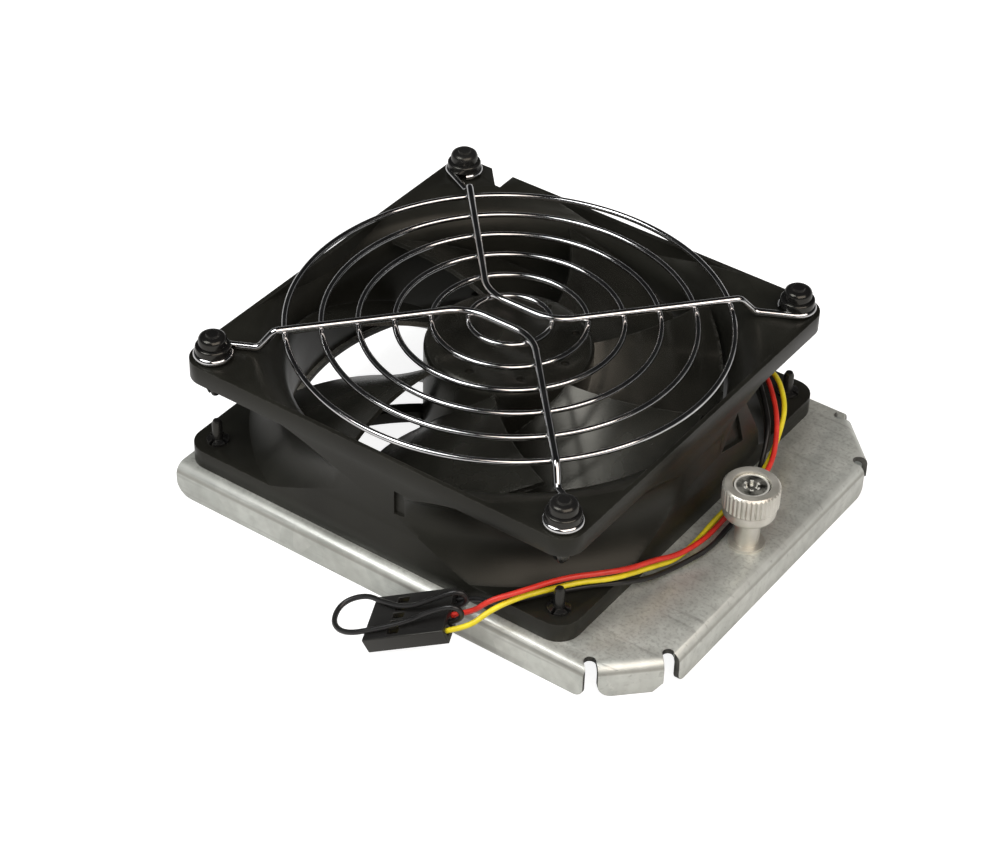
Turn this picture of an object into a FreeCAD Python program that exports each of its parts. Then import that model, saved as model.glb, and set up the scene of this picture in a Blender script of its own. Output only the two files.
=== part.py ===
import FreeCAD, Part
import math
import os

from FreeCAD import Vector

# Sizes are in mm and degrees. All shapes are drawn about the fan's axis with z = 0 on the
# bracket plate, and place() moves them into the part's own frame.

# Bracket
SHEET = 1.2
BEND_R = 2.4
LIP_DEPTH = 7.25
SIDE_MARGIN = 2.5
BACK_MARGIN = 0.3
FRONT_MARGIN = 18.0
CORNER_TRIM = 8.35
TAB_WIDTH = 12.5
TAB_SHIFT = 0.45
NOTCH_WIDTH = 2.3
SIDE_LIP_SHORT = 12.1
FRONT_LIP_SHORT = 14.0
LIP_ROUND_BACK = 3.5
LIP_ROUND_FRONT = 2.2
TAB_ROUND = 3.0
TAB_BEVEL = 2.0
AIR_HOLE_R = 44.0

# Fan frame
FAN_SIDE = 92.0
FAN_DEPTH = 25.0
HOLE_PITCH = 82.5
HOLE_R = 2.15
FLANGE_T = 4.1
CORNER_R = 4.75
NECK_R = 43.7
NECK_WALL = 2.7
MOUTH_R = 9.0
EDGE_WALL = 1.0
WAIST_LOW_Z = 12.3
WAIST_HIGH_Z = 16.3
FLARE_LOW = 5.5
FLARE_HIGH = 4.0
BASE_R = 17.6
BASE_T = 1.6
STRUT_COUNT = 4
STRUT_WIDTH = 3.0
STRUT_T = 2.6
STRUT_START = 23.0
STRUT_SWEEP = 20.0
STRUT_ROOT = 2.0
STRUT_SINK = 0.3
STRUT_LIFT = 0.2
FLARE_BOW = 0.33
LOW_CONE = 1.0
PANEL_START = 6.4
PANEL_TOP_END = 14.4
PANEL_KNEE_Y = 21.1
PANEL_KNEE_Z = 9.2
PANEL_FOOT_END = 22.0
SINK_DEPTH = 1.0
SINK_CORNERS = [(12.1, 19.1), (7.0, 12.4), (15.3, 10.3)]
STEP_START = 6.4
STEP_WIDTH = 2.2
STEP_LOW_Z = 12.4
STEP_HIGH_Z = 18.0
STEP_DEPTH = 0.8
EDGE_NOTCH = [(-37.3, 0), (-33.0, 4.9), (-31.75, 4.9), (-31.85, 0)]
EDGE_NOTCH_DROP = 0.5

# Impeller
HUB_R = 17.0
HUB_WALL = 1.0
HUB_TOP = 1.2
HUB_TOP_GAP = 1.5
HUB_BASE_GAP = 2.8
HUB_ROUND = 2.0
BLADE_COUNT = 7
BLADE_FIRST = 200.0
BLADE_SPAN = 58.0
BLADE_LEAN = 24.0
BLADE_T = 1.5
TIP_GAP = 0.7
BLADE_TOP_GAP = 3.2
BLADE_BASE_GAP = 5.2
POCKET_COUNT = 8
POCKET_R = 0.9
POCKET_DEPTH = 0.7
POCKET_MARGIN = 1.6
BLADE_SINK = 0.3
BLADE_EARLY_TWIST = 0.72

# Motor
CUP_WALL = 0.8
CUP_ROUND = 0.8
CUP_GAP = 0.2
MAGNET_GAP = 0.2
MAGNET_WALL = 1.3
AIR_GAP = 0.5
MAGNET_H = 11.0
SHAFT_R = 1.5
RACE_WALL = 0.7
BALL_R = 0.5
BALL_COUNT = 8
BALL_PLAY = 0.05
BEARING_W = 3.0
BEARING_LOW_Z = 2.3
BEARING_DROP = 7.3
TUBE_WALL = 1.0
TUBE_FLOOR = 0.8
TUBE_OVER = 0.4
TUBE_STEP = 0.6
SHAFT_FLOOR = 0.3
CLIP_WALL = 0.9
CLIP_T = 0.5
CLIP_GAP = 0.3
CLIP_SLIT = 1.2
GROOVE_DEPTH = 0.3
BUSH_R = 3.0
SPRING_GAP = 2.0
DISC_COUNT = 4
DISC_T = 0.2
DISC_PLAY = 0.1
CORE_H = 6.0
CORE_Z = 7.5
CORE_WALL = 2.4
POLE_COUNT = 4
POLE_WIDTH = 3.2
SHOE_T = 1.5
SLOT_GAP = 2.5
FORM_T = 1.2
FORM_OVER = 0.1
FORM_COLLAR = 1.6
COIL_T = 1.25
COIL_SIDE = 2.4
COIL_PLAY = 0.05
COIL_INNER_GAP = 0.5
COIL_OUTER_GAP = 0.9
BOARD_T = 1.0
BOARD_R = 13.6
BOSS_R = 7.5
BOSS_H = 3.2
CHIP_L = 5.0
CHIP_W = 4.0
CHIP_T = 1.3
CHIP_ANGLES = (10, 130)
SMALL_L = 2.4
SMALL_W = 1.4
SMALL_T = 0.8
SMALL_ANGLES = (60, 200, 250)

# Finger guard
RING_COUNT = 6
RING_FIRST = 8.2
RING_STEP = 7.21
RING_WIRE_R = 0.6
SPOKE_WIRE_R = 0.75
RING_LIFT = 3.0
WELD_SINK = 0.05
SPOKE_HALF_FLAT = 7.9
SPOKE_OFFSET = 3.25
SPOKE_BEND_R = 10.0
SPOKE_STEP_FROM_RING = 2.0
SPOKE_STEP_RUN = 3.2
SPOKE_STEP_R = 2.0
EYE_R = 3.25
EYE_TURN = 290.0

# Push rivets
COLLAR_R = 3.55
COLLAR_T = 1.5
COLLAR_BEVEL = 0.5
COLLAR_BULGE = 0.15
DOME_R = 2.85
DOME_H = 2.5
DOME_STEP_H = 1.2
DOME_TOP_R = 2.1
BUTTON_R = 1.43
BUTTON_H = 0.35
SHANK_PLAY = 0.05
PIN_R = 1.05
TOP_BARB_R = 2.7
LOW_BARB_R = 2.3
SPLIT = 0.7
TOP_TAIL = 4.3
LOW_TAIL = 0.8
LEG_TIP_WALL = 0.35
TOP_BARB_DROP = 1.2
LOW_BARB_DROP = 0.55
BARB_T = 0.4
BARB_START = 0.1
SPLIT_END = 1.5
PIN_REACH = 5.4
PIN_POINT = 1.0

# Thumbscrew
KNOB_FROM_LIP = 7.0
KNOB_R = 5.675
KNURL_H = 4.95
BAND_H = 2.55
KNURL_COUNT = 36
KNURL_DEPTH = 0.3
KNURL_BEVEL = 0.5
BAND_STEP = 0.1
BAND_BOTTOM = 1.2
FERRULE_R = 2.5
FERRULE_WALL = 0.45
FERRULE_FOOT_R = 3.65
FERRULE_FOOT_T = 0.7
FERRULE_FLARE = 0.6
FERRULE_FLARE_T = 0.35
FERRULE_STEP_Z = 3.6
FERRULE_STEP_T = 0.7
KNOB_LIFT = 7.3
KNOB_WEB = 0.4
SCREW_TRAVEL = 3.5
TRAVEL_GAP = 0.1
WASHER_T = 0.4
RUN_PLAY = 0.06
NECK_SCREW_R = 1.2
THREAD_R = 1.5
THREAD_BEVEL = 0.5
SCREW_COLLAR_T = 0.5
SCREW_COLLAR_GAP = 0.1
SCREW_TIP = 1.6
TOP_DISC_R = 3.8
TOP_RECESS = 0.5
TOP_DISC_T = 1.6
TOP_DISC_BEVEL = 0.2
STAR_R = 1.5
STAR_POINTS = 6
STAR_WAIST = 1.05
STAR_DEPTH = 0.9
SPRING_WIRE_R = 0.3
SPRING_TURNS = 6

# Leads and connector
GLAND_X = 31.5
GLAND_Y = 39.0
GLAND_Z = 9.5
GLAND_L = 7.5
GLAND_W = 4.6
GLAND_H = 2.6
LEAD_PITCH = 1.45
LEAD_R = 0.54
WAY_PITCH = 2.0
WAY_COUNT = 5
HOUSING_L = 17.0
HOUSING_W = 11.4
HOUSING_T = 3.45
HOUSING_ROUND = 0.3
WAY_SIZE = 1.4
WINDOW_START = 5.0
WINDOW_L = 2.4
TERMINAL_L = 9.0
TERMINAL_FLOOR = 0.3
POST_L = 3.0
POST_W = 1.0
POST_OVER = 0.45
TONGUE_L = 4.0
TONGUE_W = 0.7
TONGUE_OVER = 0.2
LEAD_DEPTH = 3.0
LEAD_STRAIGHT = 4.0
HOUSING_CORNER = Vector(13.1, -62.5, -LIP_DEPTH)
HOUSING_LONG = Vector(14.6, 5.2, 6.65)
HOUSING_SIDE = Vector(-4.5, 10.4, 1.15)

# Sizes that follow from the ones above
HALF = FAN_SIDE / 2
HALF_Y = HALF + SIDE_MARGIN
X_BACK = -HALF - BACK_MARGIN
X_FRONT = HALF + FRONT_MARGIN
HOLE = HOLE_PITCH / 2
FAN_X = -(X_BACK + X_FRONT) / 2
HUB_IN = HUB_R - HUB_WALL
HUB_Z0 = BASE_T + HUB_BASE_GAP
HUB_Z1 = FAN_DEPTH - HUB_TOP_GAP
CUP_Z1 = HUB_Z1 - HUB_TOP
CUP_Z0 = HUB_Z0 + CUP_GAP
CUP_IN = HUB_IN - CUP_WALL
MAGNET_IN = CUP_IN - MAGNET_WALL
CORE_R = MAGNET_IN - AIR_GAP
RACE_IN_R = SHAFT_R + RACE_WALL
RACE_OUT_IN = RACE_IN_R + 2 * (BALL_R + BALL_PLAY)
BEARING_R = RACE_OUT_IN + RACE_WALL
TUBE_R = BEARING_R + TUBE_WALL
BEARING_HIGH_Z = CUP_Z1 - BEARING_DROP
TUBE_Z1 = BEARING_HIGH_Z + BEARING_W + TUBE_OVER
BUSH_Z0 = BEARING_HIGH_Z + BEARING_W + SPRING_GAP
RING_Z = FAN_DEPTH + RING_LIFT
SPOKE_Z = RING_Z + RING_WIRE_R + SPOKE_WIRE_R - WELD_SINK
EYE_Z = FAN_DEPTH + SPOKE_WIRE_R
RIVET_TOP_Z = FAN_DEPTH + 2 * SPOKE_WIRE_R
KNOB_X = X_FRONT - KNOB_FROM_LIP
KNOB_TOP = KNOB_LIFT + BAND_H + KNURL_H
KNOB_CEILING = KNOB_TOP - TOP_RECESS - TOP_DISC_T - KNOB_WEB
FERRULE_H = KNOB_CEILING - WASHER_T - SCREW_TRAVEL - TRAVEL_GAP

FLAT = Vector(0, 0, 1)
ARC_SHARE = 1 - math.sqrt(0.5)
BEND_SHARE = 0.45
CORNERS = [(1, 1), (-1, 1), (-1, -1), (1, -1)]


def polar(r, angle, z=0.0):
    a = math.radians(angle)
    return Vector(r * math.cos(a), r * math.sin(a), z)


def on_floor(x, y):
    return Vector(x, y, 0)


def upright(x, z):
    return Vector(x, 0, z)


def sideways(y, z):
    return Vector(0, y, z)


def outline(points, plane):
    """Closed wire; an entry of four numbers is an arc given by its middle and end."""
    edges = []
    last = plane(*points[0])
    for step in points[1:] + [points[0]]:
        end = plane(*step[-2:])
        if len(step) == 4:
            edges.append(Part.Arc(last, plane(*step[:2]), end).toShape())
        elif last.distanceToPoint(end) > 1e-6:
            edges.append(Part.makeLine(last, end))
        last = end
    return Part.Wire(edges)


def prism(points, plane, push):
    return Part.Face(outline(points, plane)).extrude(push)


def spin(points):
    return Part.Face(outline(points, upright)).revolve(Vector(), FLAT, 360)


def box(x0, x1, y0, y1, z0, z1):
    return Part.makeBox(x1 - x0, y1 - y0, z1 - z0, Vector(x0, y0, z0))


def rod(r, z0, z1, x=0.0, y=0.0):
    return Part.makeCylinder(r, z1 - z0, Vector(x, y, z0))


def pipe(r_out, r_in, z0, z1):
    return rod(r_out, z0, z1).cut(rod(r_in, z0, z1))


def turned(shape, angle):
    copy = shape.copy()
    copy.rotate(Vector(), FLAT, angle)
    return copy


def moved(shape, x, y, z=0.0):
    copy = shape.copy()
    copy.translate(Vector(x, y, z))
    return copy


def around(shape, count, first=0.0):
    return [turned(shape, first + 360.0 * k / count) for k in range(count)]


def joined(shapes):
    return shapes[0].multiFuse(shapes[1:]).removeSplitter()


def bent_path(points, radii=None):
    """Edges of straight runs with a tangent arc at each inner point."""
    edges = []
    start = points[0]
    for k in range(1, len(points) - 1):
        back = points[k - 1] - points[k]
        ahead = points[k + 1] - points[k]
        half = (math.pi - back.getAngle(ahead)) / 2
        reach = BEND_SHARE * min(back.Length, ahead.Length)
        if radii:
            reach = radii[k - 1] * math.tan(half)
        p0 = points[k] + back.normalize() * reach
        p2 = points[k] + ahead.normalize() * reach
        bend = reach / math.tan(half)
        depth = bend / math.cos(half) - bend
        p1 = points[k] + (back + ahead).normalize() * depth
        edges.append(Part.LineSegment(start, p0).toShape())
        edges.append(Part.Arc(p0, p1, p2).toShape())
        start = p2
    edges.append(Part.LineSegment(start, points[-1]).toShape())
    return edges


def tube_along(edges, r):
    path = Part.Wire(edges)
    first = path.OrderedEdges[0]
    ring = Part.Wire(Part.makeCircle(r, first.valueAt(first.FirstParameter),
                                     first.tangentAt(first.FirstParameter)))
    return path.makePipeShell([ring], True, False)


# Bracket: one sheet with lips bent down on three sides and a tab across each front corner

def wall(length, start, end):
    low = -LIP_DEPTH
    c = ARC_SHARE
    points = [(0, -BEND_R), (0, low + start), (start * c, low + start * c, start, low)]
    if end > 0:
        points += [(length - end, low), (length - end * c, low + end * c, length, low + end)]
    else:
        points += [(length + end, low), (length, low - end)]
    points += [(length, -BEND_R)]
    return moved(prism(points, upright, Vector(0, SHEET, 0)), 0, -BEND_R)


def lip(length, start, end):
    """Lip along X from the origin, outside toward -Y; a negative end is a bevel."""
    inner = BEND_R - SHEET
    s = math.sqrt(0.5)
    bend = prism([(0, 0), (-BEND_R * s, BEND_R * (s - 1), -BEND_R, -BEND_R),
                  (-inner, -BEND_R), (-inner * s, -BEND_R + inner * s, 0, -SHEET)],
                 sideways, Vector(length, 0, 0))
    return bend.fuse(wall(length, start, end))


def tab_frame():
    """Middle of the corner tab's bend line, in diagonal distances along and across."""
    along = (X_FRONT - HALF_Y) / math.sqrt(2) + TAB_SHIFT
    out = (X_FRONT + HALF_Y) / math.sqrt(2) - CORNER_TRIM - BEND_R
    return along, out


def on_diagonal(shape):
    return turned(shape, 45)


def corner_tab():
    along, out = tab_frame()
    return on_diagonal(moved(lip(TAB_WIDTH, TAB_ROUND, -TAB_BEVEL), along - TAB_WIDTH / 2, -out))


def corner_notches():
    along, out = tab_frame()
    r = NOTCH_WIDTH / 2
    shift = TAB_WIDTH / 2 + r
    cuts = []
    for side in (-shift, shift):
        x = along + side
        cuts.append(rod(r, -LIP_DEPTH, 1, x, -out))
        cuts.append(box(x - r, x + r, -out - 2 * BEND_R, -out, -LIP_DEPTH - 1, 1))
    return on_diagonal(cuts[0].multiFuse(cuts[1:]))


def both_sides(shape):
    return [shape, shape.mirror(Vector(), Vector(0, 1, 0))]


def bracket():
    edge_y = HALF_Y - BEND_R
    edge_x = X_FRONT - BEND_R
    along, out = tab_frame()
    reach = out * math.sqrt(2)
    plate = prism([(X_BACK, -edge_y), (reach - edge_y, -edge_y), (edge_x, edge_x - reach),
                   (edge_x, reach - edge_x), (reach - edge_y, edge_y), (X_BACK, edge_y)],
                  on_floor, Vector(0, 0, -SHEET))
    side_length = X_FRONT - SIDE_LIP_SHORT - X_BACK
    side = moved(lip(side_length, LIP_ROUND_BACK, LIP_ROUND_FRONT), X_BACK, -edge_y)
    front_half = HALF_Y - FRONT_LIP_SHORT
    front = moved(turned(lip(2 * front_half, LIP_ROUND_FRONT, LIP_ROUND_FRONT), 90),
                  edge_x, -front_half)
    body = joined([plate, front] + both_sides(side) + both_sides(corner_tab()))
    cuts = both_sides(corner_notches())
    cuts.append(rod(AIR_HOLE_R, -SHEET - 1, 1))
    cuts.append(rod(FERRULE_R, -SHEET - 1, 1, KNOB_X))
    for sx, sy in CORNERS:
        cuts.append(rod(HOLE_R, -SHEET - 1, 1, sx * HOLE, sy * HOLE))
    return body.cut(cuts)


# Fan frame: two square flanges, a waisted duct, a motor base and curved struts in one moulding

def slab(z0, z1):
    a, r = HALF, CORNER_R
    c = r * ARC_SHARE
    points = [(-a + r, -a), (a - r, -a), (a - c, -a + c, a, -a + r), (a, a - r),
              (a - c, a - c, a - r, a), (-a + r, a), (-a + c, a - c, -a, a - r),
              (-a, -a + r), (-a + c, -a + c, -a + r, -a)]
    return moved(prism(points, on_floor, Vector(0, 0, z1 - z0)), 0, 0, z0)


def waist():
    neck = NECK_R + NECK_WALL
    top = FAN_DEPTH - FLANGE_T
    low_mid = (WAIST_LOW_Z + FLANGE_T) / 2
    high_mid = (WAIST_HIGH_Z + top) / 2
    body = spin([(0, FLANGE_T / 2), (neck + FLARE_LOW, FLANGE_T / 2), (neck + FLARE_LOW, FLANGE_T),
                 (neck + FLARE_LOW * FLARE_BOW, low_mid, neck, WAIST_LOW_Z), (neck, WAIST_HIGH_Z),
                 (neck + FLARE_HIGH * FLARE_BOW, high_mid, neck + FLARE_HIGH, top),
                 (neck + FLARE_HIGH, top + FLANGE_T / 2), (0, top + FLANGE_T / 2)])
    return body.common(slab(0, FAN_DEPTH))


def low_cone_r(z):
    """Radius of the duct's cone below the neck, at a height."""
    foot = HALF - EDGE_WALL
    return foot - (foot - NECK_R) * z / (FLANGE_T + LOW_CONE)


def duct_bore():
    top = FAN_DEPTH
    z = top - MOUTH_R
    c = MOUTH_R * ARC_SHARE
    foot = HALF - EDGE_WALL
    body = spin([(0, -1), (foot, -1), (foot, 0), (NECK_R, FLANGE_T + LOW_CONE), (NECK_R, z),
                 (NECK_R + c, z + MOUTH_R - c, NECK_R + MOUTH_R, top),
                 (NECK_R + MOUTH_R, top + 1), (0, top + 1)])
    a = HALF - EDGE_WALL
    return body.common(box(-a, a, -a, a, -2, top + 2))


def strut(width):
    end = low_cone_r(STRUT_LIFT) + STRUT_SINK
    sides = []
    for side in (-width / 2, width / 2):
        row = []
        for r in (BASE_R - STRUT_ROOT, (BASE_R + end) / 2, end):
            share = (r - BASE_R) / (NECK_R - BASE_R)
            angle = STRUT_SWEEP * share + math.degrees(side / r)
            row.append(polar(r, angle))
        sides.append(row)
    (a0, a1, a2), (b0, b1, b2) = sides
    edges = [Part.Arc(a0, a1, a2).toShape(), Part.makeLine(a2, b2),
             Part.Arc(b2, b1, b0).toShape(), Part.makeLine(b0, a0)]
    return moved(Part.Face(Part.Wire(edges)).extrude(Vector(0, 0, STRUT_T)), 0, 0, STRUT_LIFT)


def side_panel():
    """Wider flat on the +X face with its three-cornered sink."""
    top = FAN_DEPTH - FLANGE_T
    flat = prism([(PANEL_START, top), (PANEL_TOP_END, top), (PANEL_KNEE_Y, PANEL_KNEE_Z),
                  (PANEL_FOOT_END, FLANGE_T), (PANEL_START, FLANGE_T)], sideways, Vector(HALF, 0, 0))
    sink = prism(SINK_CORNERS, sideways, Vector(SINK_DEPTH + 1, 0, 0))
    return flat, moved(sink, HALF - SINK_DEPTH, 0)


def side_step():
    """Shallow step in the -Y face."""
    return box(STEP_START, STEP_START + STEP_WIDTH, -HALF - 1, STEP_DEPTH - HALF, STEP_LOW_Z, STEP_HIGH_Z)


def edge_notch():
    points = [(x, HALF - depth) for x, depth in EDGE_NOTCH]
    points = [(points[0][0], HALF + 1)] + points + [(points[-1][0], HALF + 1)]
    low = FAN_DEPTH - FLANGE_T - EDGE_NOTCH_DROP
    return moved(prism(points, on_floor, Vector(0, 0, FAN_DEPTH + 1 - low)), 0, 0, low)


def motor_base():
    floor = rod(BASE_R, 0, BASE_T)
    boss = rod(BOSS_R, 0, BOSS_H)
    return floor.fuse(boss).cut(rod(TUBE_R, TUBE_FLOOR, BOSS_H + 1))


def gland_block():
    y0 = GLAND_Y - GLAND_W / 2
    return box(GLAND_X - GLAND_L, GLAND_X, y0, y0 + GLAND_W, GLAND_Z - GLAND_H / 2,
               GLAND_Z + GLAND_H / 2)


def fan_frame():
    flat, sink = side_panel()
    shell = joined([slab(0, FLANGE_T), slab(FAN_DEPTH - FLANGE_T, FAN_DEPTH), waist(), flat])
    cuts = [duct_bore(), sink, side_step(), edge_notch(), gland_block()]
    for sx, sy in CORNERS:
        cuts.append(rod(HOLE_R, -1, FAN_DEPTH + 1, sx * HOLE, sy * HOLE))
    shell = shell.cut(cuts)
    arms = around(strut(STRUT_WIDTH), STRUT_COUNT, STRUT_START)
    base = motor_base()
    arms = [arm.cut(rod(BASE_R - 1, -1, STRUT_T + 1)) for arm in arms]
    return joined([shell, base] + arms)


# Impeller: hub cup with seven cambered blades

def hub():
    r = HUB_ROUND
    c = r * ARC_SHARE
    body = spin([(HUB_IN, HUB_Z0), (HUB_R, HUB_Z0), (HUB_R, HUB_Z1 - r),
                 (HUB_R - c, HUB_Z1 - c, HUB_R - r, HUB_Z1), (0, HUB_Z1), (0, CUP_Z1),
                 (HUB_IN, CUP_Z1)])
    pocket = rod(POCKET_R, HUB_Z1 - POCKET_DEPTH, HUB_Z1 + 1,
                 HUB_R - HUB_ROUND - POCKET_MARGIN)
    return body.cut(around(pocket, POCKET_COUNT))


def blade_section(d):
    """Closed cambered outline in the plane at distance d from the axis."""
    lean = BLADE_LEAN * ((d - HUB_R) / (NECK_R - HUB_R) - 0.5)
    z0, z1 = BLADE_BASE_GAP, FAN_DEPTH - BLADE_TOP_GAP
    upper, lower = [], []
    centre = []
    for k in range(7):
        share = k / 6
        turn = BLADE_EARLY_TWIST * share + (1 - BLADE_EARLY_TWIST) * share ** 2
        angle = BLADE_SPAN * (turn - 0.5) + lean
        centre.append(Vector(d, d * math.tan(math.radians(angle)), z0 + (z1 - z0) * share))
    for k, point in enumerate(centre):
        ahead = centre[min(k + 1, 6)] - centre[max(k - 1, 0)]
        side = Vector(0, -ahead.z, ahead.y).normalize()
        half = BLADE_T / 2 * (0.35 + 0.65 * math.sin(math.pi * (0.15 + 0.7 * k / 6)))
        upper.append(point + side * half)
        lower.append(point - side * half)
    lower.reverse()
    edges = []
    for row in (upper, lower):
        curve = Part.BSplineCurve()
        curve.interpolate(row)
        edges.append(curve.toShape())
    edges.insert(1, Part.makeLine(upper[-1], lower[0]))
    edges.append(Part.makeLine(lower[-1], upper[0]))
    return Part.Wire(edges)


def blade():
    first = HUB_R * 0.76
    reach = NECK_R * 1.05 - first
    sections = [blade_section(first + reach * share) for share in (0, 0.37, 0.64, 1)]
    body = Part.makeLoft(sections, True, False)
    keep = pipe(NECK_R - TIP_GAP, HUB_IN + BLADE_SINK, 0, FAN_DEPTH)
    return body.common(keep)


def impeller():
    return joined([hub()] + around(blade(), BLADE_COUNT, BLADE_FIRST + BLADE_SPAN / 2))


# Motor: outer rotor on a shaft in two ball bearings, four-pole stator and its board

def rotor_cup():
    r = CUP_ROUND
    c = r * ARC_SHARE
    return spin([(CUP_IN, CUP_Z0), (HUB_IN, CUP_Z0), (HUB_IN, CUP_Z1 - r),
                 (HUB_IN - c, CUP_Z1 - c, HUB_IN - r, CUP_Z1), (BUSH_R, CUP_Z1),
                 (BUSH_R, CUP_Z1 - CUP_WALL), (CUP_IN, CUP_Z1 - CUP_WALL)])


def rotor_bush():
    return pipe(BUSH_R, SHAFT_R, BUSH_Z0, CUP_Z1)


def magnet_ring():
    z = CUP_Z0 + MAGNET_GAP
    return pipe(CUP_IN, MAGNET_IN, z, z + MAGNET_H)


def shaft():
    body = rod(SHAFT_R, TUBE_FLOOR + SHAFT_FLOOR, CUP_Z1)
    z1 = BEARING_LOW_Z - CLIP_GAP
    groove = pipe(SHAFT_R + 1, SHAFT_R - GROOVE_DEPTH, z1 - CLIP_T, z1)
    return body.cut(groove)


def retaining_clip():
    z1 = BEARING_LOW_Z - CLIP_GAP
    ring = pipe(SHAFT_R + CLIP_WALL, SHAFT_R - GROOVE_DEPTH, z1 - CLIP_T, z1)
    return ring.cut(box(0, SHAFT_R + CLIP_WALL + 1, -CLIP_SLIT / 2, CLIP_SLIT / 2,
                        z1 - CLIP_T - 1, z1 + 1))


def bearing_levels():
    return (BEARING_LOW_Z, BEARING_HIGH_Z)


def bearing_outer_races():
    return [pipe(BEARING_R, RACE_OUT_IN, z, z + BEARING_W) for z in bearing_levels()]


def bearing_inner_races():
    return [pipe(RACE_IN_R, SHAFT_R, z, z + BEARING_W) for z in bearing_levels()]


def bearing_balls():
    r = (RACE_IN_R + RACE_OUT_IN) / 2
    balls = []
    for z in bearing_levels():
        ball = Part.makeSphere(BALL_R, Vector(r, 0, z + BEARING_W / 2))
        balls += around(ball, BALL_COUNT)
    return balls


def bearing_tube():
    body = pipe(TUBE_R, BEARING_R, TUBE_FLOOR, TUBE_Z1)
    low = BEARING_LOW_Z + BEARING_W
    step = pipe(BEARING_R, BEARING_R - TUBE_STEP, low, BEARING_HIGH_Z)
    return body.fuse(step).removeSplitter()


def preload_springs():
    """Cone-shaped disc springs stacked edge to edge between inner race and bush."""
    z0 = BEARING_HIGH_Z + BEARING_W
    rise = (BUSH_Z0 - z0) / DISC_COUNT
    r0, r1 = SHAFT_R + DISC_PLAY, BUSH_R - DISC_PLAY
    discs = []
    for k in range(DISC_COUNT):
        low = z0 + rise * k
        edges = [low, low + rise - DISC_T]
        inner, outer = edges if k % 2 == 0 else reversed(edges)
        discs.append(spin([(r0, inner), (r1, outer), (r1, outer + DISC_T), (r0, inner + DISC_T)]))
    return discs


def coil(r, wire, z0, z1, turns):
    height = z1 - z0 - 2 * wire
    helix = Part.makeHelix(height / turns, height, r)
    helix.translate(Vector(0, 0, z0 + wire))
    edge = helix.Edges[0]
    start = edge.valueAt(edge.FirstParameter)
    ring = Part.Wire(Part.makeCircle(wire, start, edge.tangentAt(edge.FirstParameter)))
    return Part.Wire(helix.Edges).makePipeShell([ring], True, True)


def pole_plan(grow):
    half = POLE_WIDTH / 2 + grow
    middle = (CORE_R + TUBE_R) / 2
    centre = rod(TUBE_R + CORE_WALL, 0, 1)
    inner = box(TUBE_R + CORE_WALL / 2, middle, -half, half, 0, 1)
    outer = box(middle, CORE_R - SHOE_T / 2, -half, half, 0, 1)
    arms = around(inner.fuse(outer).removeSplitter(), POLE_COUNT)
    shoes = pipe(CORE_R - 2 * grow, CORE_R - SHOE_T, 0, 1)
    gap = box(middle, CORE_R + 1, -SLOT_GAP / 2, SLOT_GAP / 2, -1, 2)
    shoes = shoes.cut(around(gap, POLE_COUNT, 180.0 / POLE_COUNT))
    return joined([centre, shoes] + arms).cut(rod(TUBE_R, -1, 2))


def plan_prism(plan, z0, z1):
    low = [face for face in plan.Faces if abs(face.CenterOfMass.z) < 1e-6]
    return moved(low[0].extrude(Vector(0, 0, z1 - z0)), 0, 0, z0)


def stator_core():
    return plan_prism(pole_plan(0), CORE_Z, CORE_Z + CORE_H)


def stator_forms():
    plan = pole_plan(FORM_OVER)
    low = plan_prism(plan, CORE_Z - FORM_T, CORE_Z)
    collar = pipe(TUBE_R + FORM_COLLAR, TUBE_R, BOSS_H + BOARD_T, CORE_Z - FORM_T)
    high = plan_prism(plan, CORE_Z + CORE_H, CORE_Z + CORE_H + FORM_T)
    return [low.fuse(collar).removeSplitter(), high]


def stator_coils():
    x0 = TUBE_R + CORE_WALL + COIL_INNER_GAP
    x1 = CORE_R - SHOE_T - COIL_OUTER_GAP
    side = POLE_WIDTH / 2 + FORM_OVER + COIL_PLAY
    z0 = CORE_Z - FORM_T - COIL_PLAY
    z1 = CORE_Z + CORE_H + FORM_T + COIL_PLAY
    body = box(x0, x1, -side - COIL_SIDE, side + COIL_SIDE, z0 - COIL_T, z1 + COIL_T)
    edges = [edge for edge in body.Edges if abs(edge.tangentAt(0).x) > 0.9]
    body = body.makeFillet(COIL_T * 0.9, edges).cut(box(x0, x1, -side, side, z0, z1))
    return around(body, POLE_COUNT)


def circuit_board():
    return pipe(BOARD_R, TUBE_R, BOSS_H, BOSS_H + BOARD_T)


def board_parts():
    z1 = BOSS_H
    r = (BOSS_R + BOARD_R) / 2
    chip = box(r - CHIP_W / 2, r + CHIP_W / 2, -CHIP_L / 2, CHIP_L / 2, z1 - CHIP_T, z1)
    small = box(r - SMALL_W / 2, r + SMALL_W / 2, -SMALL_L / 2, SMALL_L / 2, z1 - SMALL_T, z1)
    return [turned(chip, angle) for angle in CHIP_ANGLES] + [turned(small, angle) for angle in SMALL_ANGLES]


# Finger guard: six rings welded under two bent spoke wires

def guard_ring(k):
    return Part.makeTorus(RING_FIRST + RING_STEP * k, RING_WIRE_R, Vector(0, 0, RING_Z))


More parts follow.
